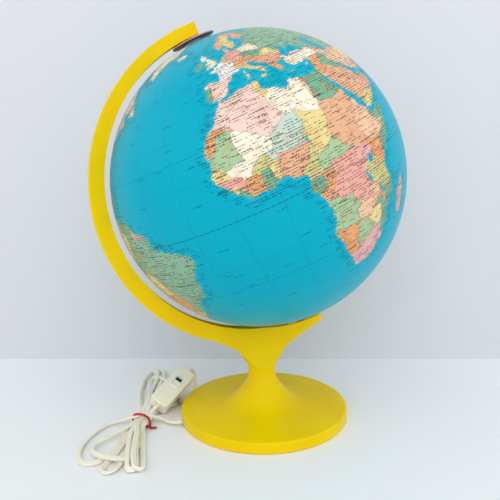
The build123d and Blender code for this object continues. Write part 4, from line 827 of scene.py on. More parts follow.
    (ROSE, [(20.5, 69), (26, 69.8), (29, 69.3), (30, 62.5), (28, 60.3), (22, 59.5), (20, 62.5),
     (24, 65.8)]),
    (CREAM, [(25.9, 40.9), (26.3, 41.7), (28, 42), (36, 42.5), (41.5, 41.5), (43.5, 41.1),
     (44.6, 39.5), (44.5, 37.2), (42.4, 37.1), (36.7, 36.6), (35.7, 35.9), (30, 35.8),
     (26, 36.5)]),
    (ORANGE, [(35.7, 35.9), (36.7, 36.6), (42.4, 37.1), (41, 34.5), (39, 32.3), (37, 31.5),
     (37.5, 30), (35, 29.4), (34.2, 31.3), (34, 33)]),
    (GREEN, [(42.4, 37.1), (44.5, 37.2), (46, 35.5), (45.5, 33.5), (48, 31), (48.5, 29.5),
     (47, 29), (44.7, 29.2), (42, 31.1), (39, 32.3), (41, 34.5)]),
    (PEACH, [(44.5, 37.2), (44.6, 39.5), (48, 39.5), (48.9, 38.4), (51, 36.5), (54, 37.3),
     (57, 38.2), (61, 36.5), (60.6, 34), (61, 31.5), (61.7, 29), (63.2, 27.2), (61.6, 25),
     (56.8, 25.9), (50, 27.8), (48.5, 29.5), (48, 31), (45.5, 33.5), (46, 35.5)]),
    (SALMON, [(35, 29.4), (37.5, 30), (37, 31.5), (39, 32.3), (42, 31.1), (44.7, 29.2),
     (47, 29), (48.5, 28.5), (51, 25), (52.5, 22.8), (55, 22), (55, 20), (52, 19), (47, 17),
     (44, 17.4), (42.8, 16.4), (38, 19), (34, 27)]),
    (YELLOW, [(42.8, 16.4), (44, 17.4), (47, 17), (52, 19), (53.1, 16.6), (52, 14), (44, 12.4),
     (42.5, 14)]),
    (ROSE, [(52, 19), (55, 20), (55, 22), (56.3, 24.5), (58, 25.5), (62, 22), (56, 15),
     (53.1, 16.6)]),
    (GREEN, [(51, 25), (52.5, 22.8), (55, 22), (56.3, 24.5), (56.4, 26.2), (52, 25.6)]),
    (YELLOW, [(61, 36.5), (66, 37.5), (71, 36.8), (74.5, 37), (69.5, 34), (66.5, 31),
     (66, 29.5), (61.7, 29), (61, 31.5), (60.6, 34)]),
    (GREEN, [(61.7, 29), (66, 29.5), (66.5, 31), (69.5, 34), (74.5, 37), (77, 35), (74.5, 31),
     (70, 28), (71, 24.5), (67, 23.5), (61.6, 25), (63.2, 27.2)]),
    (ORANGE, [(71, 24.5), (70, 28), (74.5, 31), (77, 35), (79, 31), (81, 30), (88, 27.5),
     (92, 27.5), (97, 28.5), (95, 25.5), (92, 21.5), (88, 20), (82, 12), (80, 9.8), (76, 7),
     (70, 18), (67, 23.5)]),
    (YELLOW, [(74, 39.5), (80, 42), (80, 45), (87.5, 49), (91, 45), (97, 42.7), (105, 41.7),
     (112, 44), (117, 49.6), (120, 53), (135, 48.5), (131, 42.6), (126, 40), (123, 37),
     (123, 30), (119, 22), (110, 18), (108, 21.5), (101, 21.5), (98, 24), (97, 28.5),
     (92, 27.5), (88, 27.8), (81, 30), (79, 31), (77, 35)]),
    (ORANGE, [(87.5, 49), (98, 50.5), (117, 49.6), (112, 44), (105, 41.7), (97, 42.7), (91, 45)]),
    (PINK_CREAM, [(-141, 76), (-141, 60), (-130, 54.5), (-124, 48.5), (-95, 49), (-88.5, 48),
     (-82.5, 42), (-75, 45), (-67, 47), (-66, 44.5), (-50, 44), (-60, 62), (-75, 76)]),
    (YELLOW, [(-130, 48.5), (-124, 48.5), (-95, 49), (-88.5, 48), (-82.5, 42), (-75, 45),
     (-67, 47.3), (-66, 44), (-78, 24), (-90, 27), (-97.3, 25.8), (-104, 29.5), (-107, 31.5),
     (-117, 32.5), (-130, 33)]),
    (SALMON, [(-117, 32.5), (-107, 31.5), (-104, 29.5), (-97.3, 25.8), (-85.5, 24), (-86, 18),
     (-92, 14), (-120, 14), (-120, 30)]),
    (ORANGE, [(-92.2, 18), (-86, 18), (-77.2, 8), (-80, 5), (-92, 12)]),
    (MINT, [(-51.5, 4.5), (-60, 5), (-64, 4), (-67, 1.5), (-70, -4), (-73.5, -7.5),
     (-70.5, -11), (-65, -10), (-60.3, -14), (-58, -20), (-54.3, -24), (-54, -27),
     (-57.6, -30.2), (-53.4, -34), (-30, -34), (-30, 6)]),
    (ROSE, [(-60, 8.5), (-60, 5), (-51.5, 4.5), (-50, 8)]),
    (GREEN, [(-73, 13), (-72.5, 8), (-67.5, 6), (-67, 1.5), (-64, 4), (-60, 5), (-60, 13)]),
    (YELLOW, [(-80, 13), (-77.5, 7), (-79, 1.5), (-75, 0), (-70, -4), (-67, 1.5), (-67.5, 6),
     (-72.5, 8), (-73, 13)]),
    (YELLOW, [(-70.5, -11), (-65, -10), (-60.3, -14), (-58, -20), (-62.5, -22), (-67.5, -22.5),
     (-69, -17.5)]),
    (ORANGE, [(-62.5, -22), (-58, -20), (-54.3, -24), (-56, -27.3), (-58.5, -27)]),
    (SALMON, [(-67.5, -22.5), (-62.5, -22), (-58.5, -27), (-56, -27.3), (-54, -27),
     (-57.6, -30.2), (-58.3, -34), (-55, -38), (-62, -56), (-68.5, -55), (-71.5, -45),
     (-70, -30)]),
    (YELLOW, [(-57.6, -30.2), (-53.4, -34), (-53, -36), (-58.3, -34.2)]),
    (YELLOW, [(129, -10), (129, -40), (112, -40), (112, -10)]),
    (ROSE, [(141, -29), (155, -28.5), (155, -40), (141, -40)]),
]


def ragged(start, end, roughness, longest):
    """The points from start up to, but not at, end, broken up like a coast or a river."""
    rough = random.Random(repr(sorted((start, end))))
    points = [start, end]
    while math.dist(points[0], points[1]) > longest:
        finer = []
        for a, b in zip(points, points[1:]):
            bend = rough.uniform(-roughness, roughness)
            middle = ((a[0] + b[0]) / 2 - (b[1] - a[1]) * bend, (a[1] + b[1]) / 2 + (b[0] - a[0]) * bend)
            finer += [a, middle]
        points = [*finer, points[-1]]
    return points[:-1]


def ragged_outline(corners, roughness, longest):
    outline = []
    for start, end in zip(corners, corners[1:] + corners[:1]):
        if start <= end:
            outline += ragged(start, end, roughness, longest)
        else:
            back = ragged(end, start, roughness, longest)
            outline += [start, *reversed(back[1:])]
    return outline


COAST_STEP = 1.3
BORDER_STEP = 2.2
GRID_STEP = 2.5
SHORE_BAND = 0.55

map_points, map_faces, shore = [], [], []
outlines = [(ragged_outline(corners, 0.16, COAST_STEP), colour, "land") for colour, corners in LANDS]
outlines += [(ragged_outline(corners, 0.10, BORDER_STEP), colour, "country")
             for colour, corners in COUNTRIES]
outlines += [(ragged_outline(corners, 0.14, COAST_STEP), SEA, "water") for corners in WATERS]
known = {}
borders = []
for outline, colour, kind in outlines:
    face = []
    for spot in outline:
        key = (round(spot[0], 5), round(spot[1], 5))
        if key not in known:
            known[key] = len(map_points)
            map_points.append(Vector(key))
            shore.append(0.0)
            borders.append(0.0)
        if kind == "country":
            borders[known[key]] = 1.0
        else:
            shore[known[key]] = 1.0
        if not face or face[-1] != known[key]:
            face.append(known[key])
    corners = [map_points[k] for k in face]
    area = sum(a.x * b.y - b.x * a.y for a, b in zip(corners, corners[1:] + corners[:1]))
    map_faces.append(face if area > 0 else face[::-1])

beside = []
for outline, colour, kind in outlines:
    for before, spot, after in zip(outline[-1:] + outline[:-1], outline, outline[1:] + outline[:1]):
        along = Vector((after[0] - before[0], after[1] - before[1]))
        if along.length < 0.01:
            continue
        away = Vector((-along.y, along.x)).normalized() * SHORE_BAND
        away.x /= max(0.25, math.cos(math.radians(spot[1])))
        beside += [Vector(spot) + away, Vector(spot) - away]
cells = {}
for spot in map_points:
    cells.setdefault((int(spot.x // SHORE_BAND), int(spot.y // SHORE_BAND)), []).append(spot)


def clear_of_lines(spot, reach):
    column, row = int(spot.x // SHORE_BAND), int(spot.y // SHORE_BAND)
    return all(
        (spot - other).length > reach
        for i in (-1, 0, 1) for j in (-1, 0, 1) for other in cells.get((column + i, row + j), ())
    )


for spot in beside:
    if SEAM_MERIDIAN < spot.x < SEAM_MERIDIAN + 360 and LOW_LATITUDE < spot.y < TOP_LATITUDE \
            and abs(spot.y) > 0.1 and clear_of_lines(spot, SHORE_BAND * 0.75):
        map_points.append(spot)
        shore.append(0.0)
        borders.append(0.0)
        cells.setdefault((int(spot.x // SHORE_BAND), int(spot.y // SHORE_BAND)), []).append(spot)

rows = [LOW_LATITUDE] + [k * GRID_STEP for k in range(-33, 36)] + [TOP_LATITUDE]
columns = [SEAM_MERIDIAN + k * GRID_STEP for k in range(145)]
edge_lines = []
for latitude in rows:
    start = len(map_points)
    for longitude in columns:
        map_points.append(Vector((longitude, latitude)))
        shore.append(0.0)
        borders.append(0.0)
    if latitude in (0.0, LOW_LATITUDE, TOP_LATITUDE):
        edge_lines += [(k, k + 1) for k in range(start, start + len(columns) - 1)]

flat_points, _, flat_faces, came_from, _, inside = delaunay_2d_cdt(
    map_points, edge_lines, map_faces, 0, 0.00001
)
flat_shore = [max((shore[k] for k in origin), default=0.0) for origin in came_from]
flat_border = [max((borders[k] for k in origin), default=1.0) for origin in came_from]

# How far each point is from the nearest coast, in degrees, up to the reach of the sea's print.
COAST_REACH = 5.0
neighbours = {}
for face in flat_faces:
    for a, b in zip(face, (*face[1:], face[0])):
        squeeze = math.cos(math.radians(flat_points[a][1]))
        step = math.hypot(
            (flat_points[a][0] - flat_points[b][0]) * squeeze, flat_points[a][1] - flat_points[b][1]
        )
        neighbours.setdefault(a, []).append((b, step))
        neighbours.setdefault(b, []).append((a, step))
from_coast = [0.0 if near else COAST_REACH for near in flat_shore]
waiting = [(0.0, k) for k, near in enumerate(flat_shore) if near]
while waiting:
    far, here = heapq.heappop(waiting)
    if far > from_coast[here]:
        continue
    for other, step in neighbours.get(here, ()):
        if far + step < from_coast[other]:
            from_coast[other] = far + step
            heapq.heappush(waiting, (far + step, other))


# The lands that their countries fill; elsewhere a land keeps its own colour.
MAINLANDS = {0, 2, 12, 19, 20}


def face_colour(holders):
    """Sea unless some land holds the triangle; then the last country, or the land's own."""
    kinds = [outlines[k] for k in sorted(holders)]
    if any(kind == "water" for _, _, kind in kinds):
        return SEA
    lands = [colour for _, colour, kind in kinds if kind == "land"]
    if not lands:
        return SEA
    countries = [colour for _, colour, kind in kinds if kind == "country"]
    return countries[-1] if countries and MAINLANDS & set(holders) else lands[-1]


def on_globe(longitude, latitude, radius):
    turn, rise = math.radians(longitude - FRONT_MERIDIAN), math.radians(latitude)
    front, right = math.cos(rise) * math.cos(turn), math.cos(rise) * math.sin(turn)
    spot = Vector((
        right * math.cos(TILT) - math.sin(rise) * math.sin(TILT),
        -front,
        right * math.sin(TILT) + math.sin(rise) * math.cos(TILT),
    ))
    return GLOBE_MIDDLE + spot * radius


def shell_edge(faces):
    """The directed edges that belong to one face only."""
    seen = {}
    for face in faces:
        for a, b in zip(face, face[1:] + face[:1]):
            seen[(a, b)] = True
    return [(a, b) for a, b in seen if (b, a) not in seen]


def build_half(name, node, upper):
    """One printed half shell, with its plain inner wall and its rims."""
    chosen = [
        (tuple(face), holders) for face, holders in zip(flat_faces, inside)
        if (sum(flat_points[k][1] for k in face) > 0) == upper
    ]
    welded, number, places = {}, {}, []
    for face, _ in chosen:
        for k in face:
            longitude, latitude = flat_points[k]
            if abs(longitude - SEAM_MERIDIAN - 360) < 0.001:
                longitude = SEAM_MERIDIAN
            key = (round(longitude, 4), round(latitude, 4))
            if key not in welded:
                welded[key] = len(places)
                places.append((longitude, latitude, k))
            number[k] = welded[key]
    outer_faces, colours, uvs = [], [], []
    for face, holders in chosen:
        corners = tuple(number[k] for k in face)
        if len(set(corners)) < 3:
            continue
        outer_faces.append(corners)
        colours.append((face_colour(holders), [flat_shore[k] for k in face]))
        uvs += [((flat_points[k][0] + 170) / 360, (flat_points[k][1] + 90) / 180) for k in face]
    count = len(places)
    points = [on_globe(longitude, latitude, GLOBE_R) for longitude, latitude, _ in places]
    points += [on_globe(longitude, latitude, GLOBE_INNER_R) for longitude, latitude, _ in places]
    inner_faces = [(a + count, c + count, b + count) for a, b, c in outer_faces]
    rim_faces = [(b, a, a + count, b + count) for a, b in shell_edge(outer_faces)]
    mesh = bpy.data.meshes.new(name)
    mesh.from_pydata(points, [], outer_faces + inner_faces + rim_faces)
    half = bpy.data.objects.new(name, mesh)
    scene.collection.objects.link(half)
    paint = mesh.color_attributes.new("map_colour", "FLOAT_COLOR", "CORNER")
    values = []
    for colour, edge in colours:
        for nearness in edge:
            values += [colour[0], colour[1], colour[2], nearness]
    values += [0.8, 0.8, 0.78, 0.0] * (len(mesh.loops) - len(values) // 4)
    paint.data.foreach_set("color", values)
    for label, values_of in (("border_line", flat_border), ("coast_reach", from_coast)):
        held = mesh.attributes.new(label, "FLOAT", "POINT")
        held.data.foreach_set("value", [values_of[k] for _, _, k in places] * 2)
    layer = mesh.uv_layers.new(name="longitude_latitude")
    places_uv = [value for pair in uvs for value in pair]
    places_uv += [0.0] * (2 * len(mesh.loops) - len(places_uv))
    layer.data.foreach_set("uv", places_uv)
    mesh.polygons.foreach_set(
        "material_index", [0] * len(outer_faces) + [1] * (len(inner_faces) + len(rim_faces))
    )
    mesh.shade_smooth()
    outward = [(Vector(point) - GLOBE_MIDDLE).normalized() for point in points[:count]]
    mesh.normals_split_custom_set_from_vertices(outward + [-away for away in outward])
    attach(half, "globe")
    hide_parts(node)
    return half


def printed_map_finish():
    """Lacquered print: map colours, pale shore band, thin lines, dashes and a paper grain."""
    finish, nodes, links, shader = new_finish("lacquered_map_print")
    paint = nodes.new("ShaderNodeVertexColor")
    paint.layer_name = "map_colour"
    place = nodes.new("ShaderNodeUVMap")
    place.uv_map = "longitude_latitude"
    parts = nodes.new("ShaderNodeSeparateXYZ")
    links.new(place.outputs["UV"], parts.inputs[0])

    def sums(operation, first, second, third=None):
        node = nodes.new("ShaderNodeMath")
        node.operation = operation
        for socket, value in zip(node.inputs, (first, second, third)):
            if value is None:
                continue
            if isinstance(value, (int, float)):
                socket.default_value = value
            else:
                links.new(value, socket)
        return node.outputs[0]

    def blend_in(base, over, amount):
        node = nodes.new("ShaderNodeMix")
        node.data_type = "RGBA"
        for socket, value in ((node.inputs[6], base), (node.inputs[7], over)):
            if isinstance(value, tuple):
                socket.default_value = value
            else:
                links.new(value, socket)
        links.new(amount, node.inputs[0])
        return node.outputs[2]

    longitude = sums("MULTIPLY_ADD", parts.outputs[0], 360.0, -170.0)
    latitude = sums("MULTIPLY_ADD", parts.outputs[1], 180.0, -90.0)
    colours = nodes.new("ShaderNodeSeparateColor")
    links.new(paint.outputs["Color"], colours.inputs[0])
    on_land = sums("GREATER_THAN", colours.outputs[0], 0.05)
    at_sea = sums("SUBTRACT", 1.0, on_land)
    near_line = paint.outputs["Alpha"]

    grain_place = nodes.new("ShaderNodeTexCoord")
    drift = nodes.new("ShaderNodeTexNoise")
    drift.inputs["Scale"].default_value = 14.0
    drift.inputs["Detail"].default_value = 5.0
    links.new(grain_place.outputs["Object"], drift.inputs["Vector"])
    drift_amount = sums("MULTIPLY", sums("MULTIPLY", drift.outputs["Fac"], 0.35), at_sea)
    colour = blend_in(paint.outputs["Color"], tone(0, 186, 204), drift_amount)
    relief = nodes.new("ShaderNodeTexNoise")
    relief.inputs["Scale"].default_value = 95.0
    relief.inputs["Detail"].default_value = 6.0
    links.new(grain_place.outputs["Object"], relief.inputs["Vector"])
    relief_over = sums("SUBTRACT", relief.outputs["Fac"], 0.5)
    relief_amount = sums("MULTIPLY", sums("SMOOTH_MAX", relief_over, 0.0, 0.1), on_land)
    colour = blend_in(colour, tone(190, 120, 80), sums("MULTIPLY", relief_amount, 1.6))

    def carried(label):
        node = nodes.new("ShaderNodeAttribute")
        node.attribute_name = label
        return node.outputs["Fac"]

    from_shore = carried("coast_reach")
    near_sea = sums("SUBTRACT", 1.0, sums("MINIMUM", sums("DIVIDE", from_shore, 1.4), 1.0))
    shallows = sums("MULTIPLY", sums("MULTIPLY", near_sea, at_sea), 0.16)
    colour = blend_in(colour, tone(110, 214, 224), shallows)
    ink_line = sums("GREATER_THAN", sums("MAXIMUM", carried("border_line"), near_line), 0.80)
    borders = sums("MULTIPLY", sums("MULTIPLY", ink_line, on_land), 0.45)
    colour = blend_in(colour, tone(130, 100, 90), borders)

    def line_every(coordinate, spacing, width):
        phase = sums("FRACT", sums("MULTIPLY_ADD", coordinate, 1.0 / spacing, 100.5), 0.0)
        offset = sums("ABSOLUTE", sums("SUBTRACT", phase, 0.5), 0.0)
        return sums("LESS_THAN", offset, width / spacing)

    grid_line = sums("MAXIMUM", line_every(longitude, 15.0, 0.07), line_every(latitude, 15.0, 0.06))
    colour = blend_in(colour, tone(20, 84, 120), sums("MULTIPLY", grid_line, 0.45))
    equator = sums("LESS_THAN", sums("ABSOLUTE", latitude, 0.0), 0.13)
    dashes = sums("LESS_THAN", sums("FRACT", sums("MULTIPLY", longitude, 0.5), 0.0), 0.68)
    from_tropic = sums("SUBTRACT", sums("ABSOLUTE", latitude, 0.0), 23.45)
    tropics = sums("LESS_THAN", sums("ABSOLUTE", from_tropic, 0.0), 0.09)
    marked = sums("MULTIPLY", sums("MAXIMUM", equator, tropics), dashes)
    colour = blend_in(colour, tone(16, 60, 96), sums("MULTIPLY", marked, 0.7))

    def random_cell(across, row, seed):
        noise = nodes.new("ShaderNodeTexWhiteNoise")
        noise.noise_dimensions = "3D"
        cell = nodes.new("ShaderNodeCombineXYZ")
        links.new(sums("FLOOR", across, 0.0), cell.inputs[0])
        links.new(row, cell.inputs[1])
        cell.inputs[2].default_value = seed
        links.new(cell.outputs[0], noise.inputs["Vector"])
        return noise.outputs["Value"]

    def dash_rows(spacing, height, length, strokes, density, seed):
        """Short broken strokes in rows along the parallels, where a map has its small print."""
        row = sums("FLOOR", sums("DIVIDE", latitude, spacing), 0.0)
        high = sums("FRACT", sums("MULTIPLY_ADD", latitude, 1.0 / spacing, 200.0), 0.0)
        off_row = sums("ABSOLUTE", sums("SUBTRACT", high, 0.5), 0.0)
        in_row = sums("LESS_THAN", off_row, height / spacing / 2)
        shift = sums("MULTIPLY", sums("FRACT", sums("MULTIPLY", row, 0.6180), 0.0), length)
        along = sums("DIVIDE", sums("ADD", longitude, shift), length)
        here = sums("LESS_THAN", random_cell(along, row, seed), density)
        inked = sums("LESS_THAN", random_cell(sums("MULTIPLY", along, strokes), row, seed + 3.0), 0.66)
        return sums("MULTIPLY", sums("MULTIPLY", in_row, here), inked)

    crowding = nodes.new("ShaderNodeTexNoise")
    crowding.inputs["Scale"].default_value = 16.0
    crowding.inputs["Detail"].default_value = 2.0
    links.new(grain_place.outputs["Object"], crowding.inputs["Vector"])
    inland = sums("DIVIDE", from_shore, COAST_REACH)
    crowd = sums(
        "SUBTRACT",
        sums("MULTIPLY_ADD", crowding.outputs["Fac"], 1.6, 0.02),
        sums("MULTIPLY", inland, 0.35),
    )
    fine = dash_rows(0.85, 0.30, 2.6, 16.0, crowd, 1.0)
    names = dash_rows(1.9, 0.42, 3.7, 14.0, sums("MULTIPLY", crowd, 0.45), 2.0)
    land_print = sums("MULTIPLY", sums("MAXIMUM", fine, names), on_land)
    colour = blend_in(colour, tone(58, 46, 52), sums("MULTIPLY", land_print, 0.78))
    town_dashes = dash_rows(1.3, 0.34, 0.45, 1.0, sums("MULTIPLY", crowd, 0.22), 9.0)
    towns = sums("MULTIPLY", town_dashes, on_land)
    colour = blend_in(colour, tone(190, 40, 30), sums("MULTIPLY", towns, 0.75))
    offshore = sums(
        "MULTIPLY", sums("GREATER_THAN", from_shore, 0.35), sums("LESS_THAN", from_shore, 3.2)
    )
    shore_dashes = dash_rows(0.75, 0.30, 2.4, 13.0, 0.55, 7.0)
    shore_print = sums("MULTIPLY", sums("MULTIPLY", shore_dashes, offshore), at_sea)
    colour = blend_in(colour, tone(8, 44, 76), sums("MULTIPLY", shore_print, 0.75))
    sea_print = sums("MULTIPLY", dash_rows(1.3, 0.30, 4.0, 18.0, 0.045, 5.0), at_sea)
    colour = blend_in(colour, tone(8, 50, 84), sums("MULTIPLY", sea_print, 0.7))
    links.new(colour, shader.inputs["Base Color"])

    smear = nodes.new("ShaderNodeTexNoise")
    smear.inputs["Scale"].default_value = 30.0
    smear.inputs["Detail"].default_value = 6.0
    links.new(grain_place.outputs["Object"], smear.inputs["Vector"])
    links.new(sums("MULTIPLY_ADD", smear.outputs["Fac"], 0.14, 0.26), shader.inputs["Roughness"])
    fibre = nodes.new("ShaderNodeTexNoise")
    fibre.inputs["Scale"].default_value = 500.0
    links.new(grain_place.outputs["Object"], fibre.inputs["Vector"])
    bump = nodes.new("ShaderNodeBump")
    bump.inputs["Distance"].default_value = 0.00002
    links.new(fibre.outputs["Fac"], bump.inputs["Height"])
    links.new(bump.outputs["Normal"], shader.inputs["Normal"])
    shader.inputs["Specular IOR Level"].default_value = 0.09
    return finish


map_print = printed_map_finish()
shell_white, shader = moulded_finish(
    "white_inner_shell", tone(226, 226, 220), tone(206, 202, 190), 0.4, 0.4, 400.0, 0.00003
)
for half in (
    build_half("map_north", "globe_north", True),
    build_half("map_south", "globe_south", False),
):
    half.data.materials.append(map_print)
    half.data.materials.append(shell_white)


# ---- hand switch --------------------------------------------------------------------------
# A slide switch in the flex: two ivory shells screwed together from below, with a small
# white slider in a framed window and brass contact strips inside.

switch_ivory, shader = moulded_finish(
    "ivory_switch_shell", tone(250, 244, 226), tone(236, 226, 198), 0.4, 0.24, 600.0, 0.00002
)
slider_white, shader = moulded_finish(
    "white_slider", tone(246, 244, 234), tone(220, 214, 196), 0.3, 0.20, 600.0, 0.00001
)
set_finish(switch_ivory, "switch_upper", "switch_lower")
set_finish(slider_white, "switch_slider", "switch_bezel")

# The slider's knob is white down to the shell's wall; below that depth its colour is painted shade, a
# dark brown that stands in for the shadow deep in the slot.
SWITCH_TOP = Vector((-0.0899, 0.0482, 0.0275))
SWITCH_UP = Vector((0.1404, -0.5755, 0.8057))
SLOT_SHADE_DEPTH = -0.0018


# Painted shade: whatever of the slider and bezel lies below the shell's wall is coloured dark brown for
# the shadow in the slot.
def darken_plate(finish):
    nodes, links = finish.node_tree.nodes, finish.node_tree.links
    shader = nodes["Principled BSDF"]
    base = shader.inputs["Base Color"].links[0].from_socket
    place = nodes.new("ShaderNodeTexCoord")
    above = nodes.new("ShaderNodeVectorMath")
    above.operation = "SUBTRACT"
    above.inputs[1].default_value = SWITCH_TOP
    links.new(place.outputs["Object"], above.inputs[0])
    height = nodes.new("ShaderNodeVectorMath")
    height.operation = "DOT_PRODUCT"
    height.inputs[1].default_value = SWITCH_UP
    links.new(above.outputs[0], height.inputs[0])
    deep = nodes.new("ShaderNodeMath")
    deep.operation = "LESS_THAN"
    deep.inputs[1].default_value = SLOT_SHADE_DEPTH
    links.new(height.outputs["Value"], deep.inputs[0])
    mix = nodes.new("ShaderNodeMix")
    mix.data_type = "RGBA"
    links.new(deep.outputs[0], mix.inputs[0])
    links.new(base, mix.inputs[6])
    # The painted shade colour for the deep slot.
    mix.inputs[7].default_value = tone(52, 40, 34)
    links.new(mix.outputs[2], shader.inputs["Base Color"])


darken_plate(slider_white)


# ---- mains plug ---------------------------------------------------------------------------
# A flat two-pin plug moulded on to the flex in the same ivory plastic, with solid nickelled
# brass pins.

set_finish(switch_ivory, "plug_body")


# ---- metal parts --------------------------------------------------------------------------
# Turned steel axis pins, a zinc-plated neck tube with its nuts and washers, screws, an iron
# ballast ring in the foot, and brass contacts.

def metal_finish(name, colour, roughness, grain_scale):
    finish, nodes, links, shader = new_finish(name)
    place = nodes.new("ShaderNodeTexCoord")
    grain = nodes.new("ShaderNodeTexNoise")
    grain.inputs["Scale"].default_value = grain_scale
    grain.inputs["Detail"].default_value = 6.0
    links.new(place.outputs["Object"], grain.inputs["Vector"])
    spread = nodes.new("ShaderNodeMapRange")
    spread.inputs["To Min"].default_value = roughness - 0.08
    spread.inputs["To Max"].default_value = roughness + 0.18
    links.new(grain.outputs["Fac"], spread.inputs["Value"])
    links.new(spread.outputs["Result"], shader.inputs["Roughness"])
    tint = nodes.new("ShaderNodeValToRGB")
    tint.color_ramp.elements[0].color = tuple(0.7 * c for c in colour[:3]) + (1,)
    tint.color_ramp.elements[1].color = colour
    links.new(grain.outputs["Fac"], tint.inputs["Fac"])
    links.new(tint.outputs["Color"], shader.inputs["Base Color"])
    shader.inputs["Metallic"].default_value = 1.0
    return finish


zinc_steel = metal_finish("zinc_plated_steel", tone(196, 198, 200), 0.30, 300.0)
yellow_brass = metal_finish("yellow_brass", tone(214, 176, 98), 0.28, 350.0)
nickel = metal_finish("worn_nickel", tone(150, 146, 138), 0.24, 350.0)
cast_iron = metal_finish("cast_iron", tone(92, 90, 88), 0.60, 500.0)
set_finish(zinc_steel, "base_screws", "clamp_screws", "neck_tube", "neck_washers", "neck_nuts")
set_finish(zinc_steel, "north_pin", "south_pivot", "pivot_nut", "pivot_collar", "switch_screws")
set_finish(yellow_brass, "bulb_cap", "switch_contacts", "holder_sleeve")
set_finish(nickel, "plug_pins")
set_finish(cast_iron, "base_weight")


# ---- hour dial and pole fittings ----------------------------------------------------------
# A thin card dial, printed brownish pink with a mark for every hour, turns under an ivory cap
# at the north pole. White nylon bushes line both poles and a white band joins the shells.

DIAL_MIDDLE = GLOBE_MIDDLE + Vector((-math.sin(TILT), 0, math.cos(TILT))) * 0.1515


def dial_finish():
    finish, nodes, links, shader = new_finish("printed_hour_dial")
    place = nodes.new("ShaderNodeTexCoord")
    centred = nodes.new("ShaderNodeVectorMath")
    centred.operation = "SUBTRACT"
    centred.inputs[1].default_value = DIAL_MIDDLE
    links.new(place.outputs["Object"], centred.inputs[0])
    level = nodes.new("ShaderNodeVectorRotate")
    level.rotation_type = "Y_AXIS"
    level.inputs["Angle"].default_value = TILT
    links.new(centred.outputs[0], level.inputs["Vector"])
    turned = nodes.new("ShaderNodeSeparateXYZ")
    links.new(level.outputs[0], turned.inputs[0])

    def sums(operation, first, second):
        node = nodes.new("ShaderNodeMath")
        node.operation = operation
        for socket, value in zip(node.inputs, (first, second)):
            if isinstance(value, (int, float)):
                socket.default_value = value
            else:
                links.new(value, socket)
        return node.outputs[0]

    angle = sums("ARCTAN2", turned.outputs[0], turned.outputs[1])
    across = sums("MULTIPLY", turned.outputs[0], turned.outputs[0])
    deep = sums("MULTIPLY", turned.outputs[1], turned.outputs[1])
    reach = sums("SQRT", sums("ADD", across, deep), 0.0)
    hours = sums("FRACT", sums("ADD", sums("MULTIPLY", angle, 12.0 / math.pi), 50.0), 0.0)
    mark = sums("LESS_THAN", hours, 0.10)
    in_ring = sums("LESS_THAN", sums("ABSOLUTE", sums("SUBTRACT", reach, 0.0185), 0.0), 0.0022)
    rim_line = sums("LESS_THAN", sums("ABSOLUTE", sums("SUBTRACT", reach, 0.0150), 0.0), 0.0003)
    inked = sums("MAXIMUM", sums("MULTIPLY", mark, in_ring), rim_line)
    mix = nodes.new("ShaderNodeMix")
    mix.data_type = "RGBA"
    links.new(inked, mix.inputs[0])
    mix.inputs[6].default_value = tone(206, 150, 140)
    mix.inputs[7].default_value = tone(96, 60, 60)
    links.new(mix.outputs[2], shader.inputs["Base Color"])
    shader.inputs["Roughness"].default_value = 0.45
    return finish


set_finish(dial_finish(), "hour_dial")
bush_nylon, shader = moulded_finish(
    "white_nylon", tone(238, 236, 226), tone(216, 208, 184), 0.4, 0.36, 500.0, 0.00002
)
set_finish(bush_nylon, "north_boss", "north_bush", "south_bush", "equator_band")


# ---- lamp and inner wiring ----------------------------------------------------------------
# A pygmy bulb in a brown moulded lampholder hangs from the south pivot. Its two-core flex
# comes up through the hollow neck from a cord clamp in the foot.

holder_brown, shader = moulded_finish(
    "brown_bakelite", tone(74, 48, 36), tone(40, 26, 20), 0.5, 0.26, 500.0, 0.00002
)
porcelain, shader = moulded_finish(
    "white_porcelain", tone(240, 240, 236), tone(214, 210, 200), 0.3, 0.10, 300.0, 0.00001
)
bulb_envelope, nodes, links, shader = new_finish("frosted_bulb_glass")
shader.inputs["Base Color"].default_value = tone(250, 250, 248)
shader.inputs["Transmission Weight"].default_value = 0.9
shader.inputs["IOR"].default_value = 1.5
frost = nodes.new("ShaderNodeTexNoise")
frost.inputs["Scale"].default_value = 900.0
frost_spread = nodes.new("ShaderNodeMapRange")
frost_spread.inputs["To Min"].default_value = 0.35
frost_spread.inputs["To Max"].default_value = 0.55
links.new(frost.outputs["Fac"], frost_spread.inputs["Value"])
links.new(frost_spread.outputs["Result"], shader.inputs["Roughness"])
set_finish(holder_brown, "holder_base", "cord_clamp")
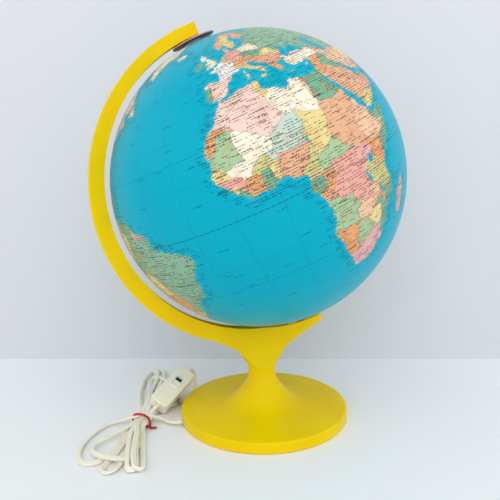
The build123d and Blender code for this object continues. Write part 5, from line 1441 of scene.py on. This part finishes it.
set_finish(porcelain, "holder_insert")
set_finish(bulb_envelope, "bulb_glass")
set_finish(flex_pvc, "inner_flex")


# ---- underside ----------------------------------------------------------------------------
# A disc of brown hardboard closes the foot and a ring of green felt covers it. The flex leaves
# through a soft ivory grommet in the rim.

def fibre_finish(name, light, dark, stretch, scale, depth):
    """Pressed or woven fibres: two-tone noise with a matching bump, quite matt."""
    finish, nodes, links, shader = new_finish(name)
    place = nodes.new("ShaderNodeTexCoord")
    lie = nodes.new("ShaderNodeMapping")
    lie.inputs["Scale"].default_value = stretch
    links.new(place.outputs["Object"], lie.inputs["Vector"])
    fibres = nodes.new("ShaderNodeTexNoise")
    fibres.inputs["Scale"].default_value = scale
    fibres.inputs["Detail"].default_value = 8.0
    links.new(lie.outputs[0], fibres.inputs["Vector"])
    ramp = nodes.new("ShaderNodeValToRGB")
    ramp.color_ramp.elements[0].position = 0.35
    ramp.color_ramp.elements[0].color = dark
    ramp.color_ramp.elements[1].position = 0.65
    ramp.color_ramp.elements[1].color = light
    links.new(fibres.outputs["Fac"], ramp.inputs["Fac"])
    links.new(ramp.outputs["Color"], shader.inputs["Base Color"])
    bump = nodes.new("ShaderNodeBump")
    bump.inputs["Distance"].default_value = depth
    links.new(fibres.outputs["Fac"], bump.inputs["Height"])
    links.new(bump.outputs["Normal"], shader.inputs["Normal"])
    shader.inputs["Roughness"].default_value = 0.85
    return finish, shader


felt_green, shader = fibre_finish(
    "green_felt", tone(58, 84, 62), tone(34, 54, 40), (1, 1, 1), 700.0, 0.0002
)
shader.inputs["Sheen Weight"].default_value = 0.5
hardboard, shader = fibre_finish(
    "brown_hardboard", tone(132, 96, 62), tone(94, 64, 40), (1, 4, 1), 260.0, 0.00008
)
grommet_rubber, shader = fibre_finish(
    "ivory_rubber", tone(228, 220, 186), tone(206, 196, 158), (1, 1, 1), 400.0, 0.00003
)
set_finish(felt_green, "floor_pad")
set_finish(hardboard, "base_cover")
set_finish(grommet_rubber, "cord_grommet")
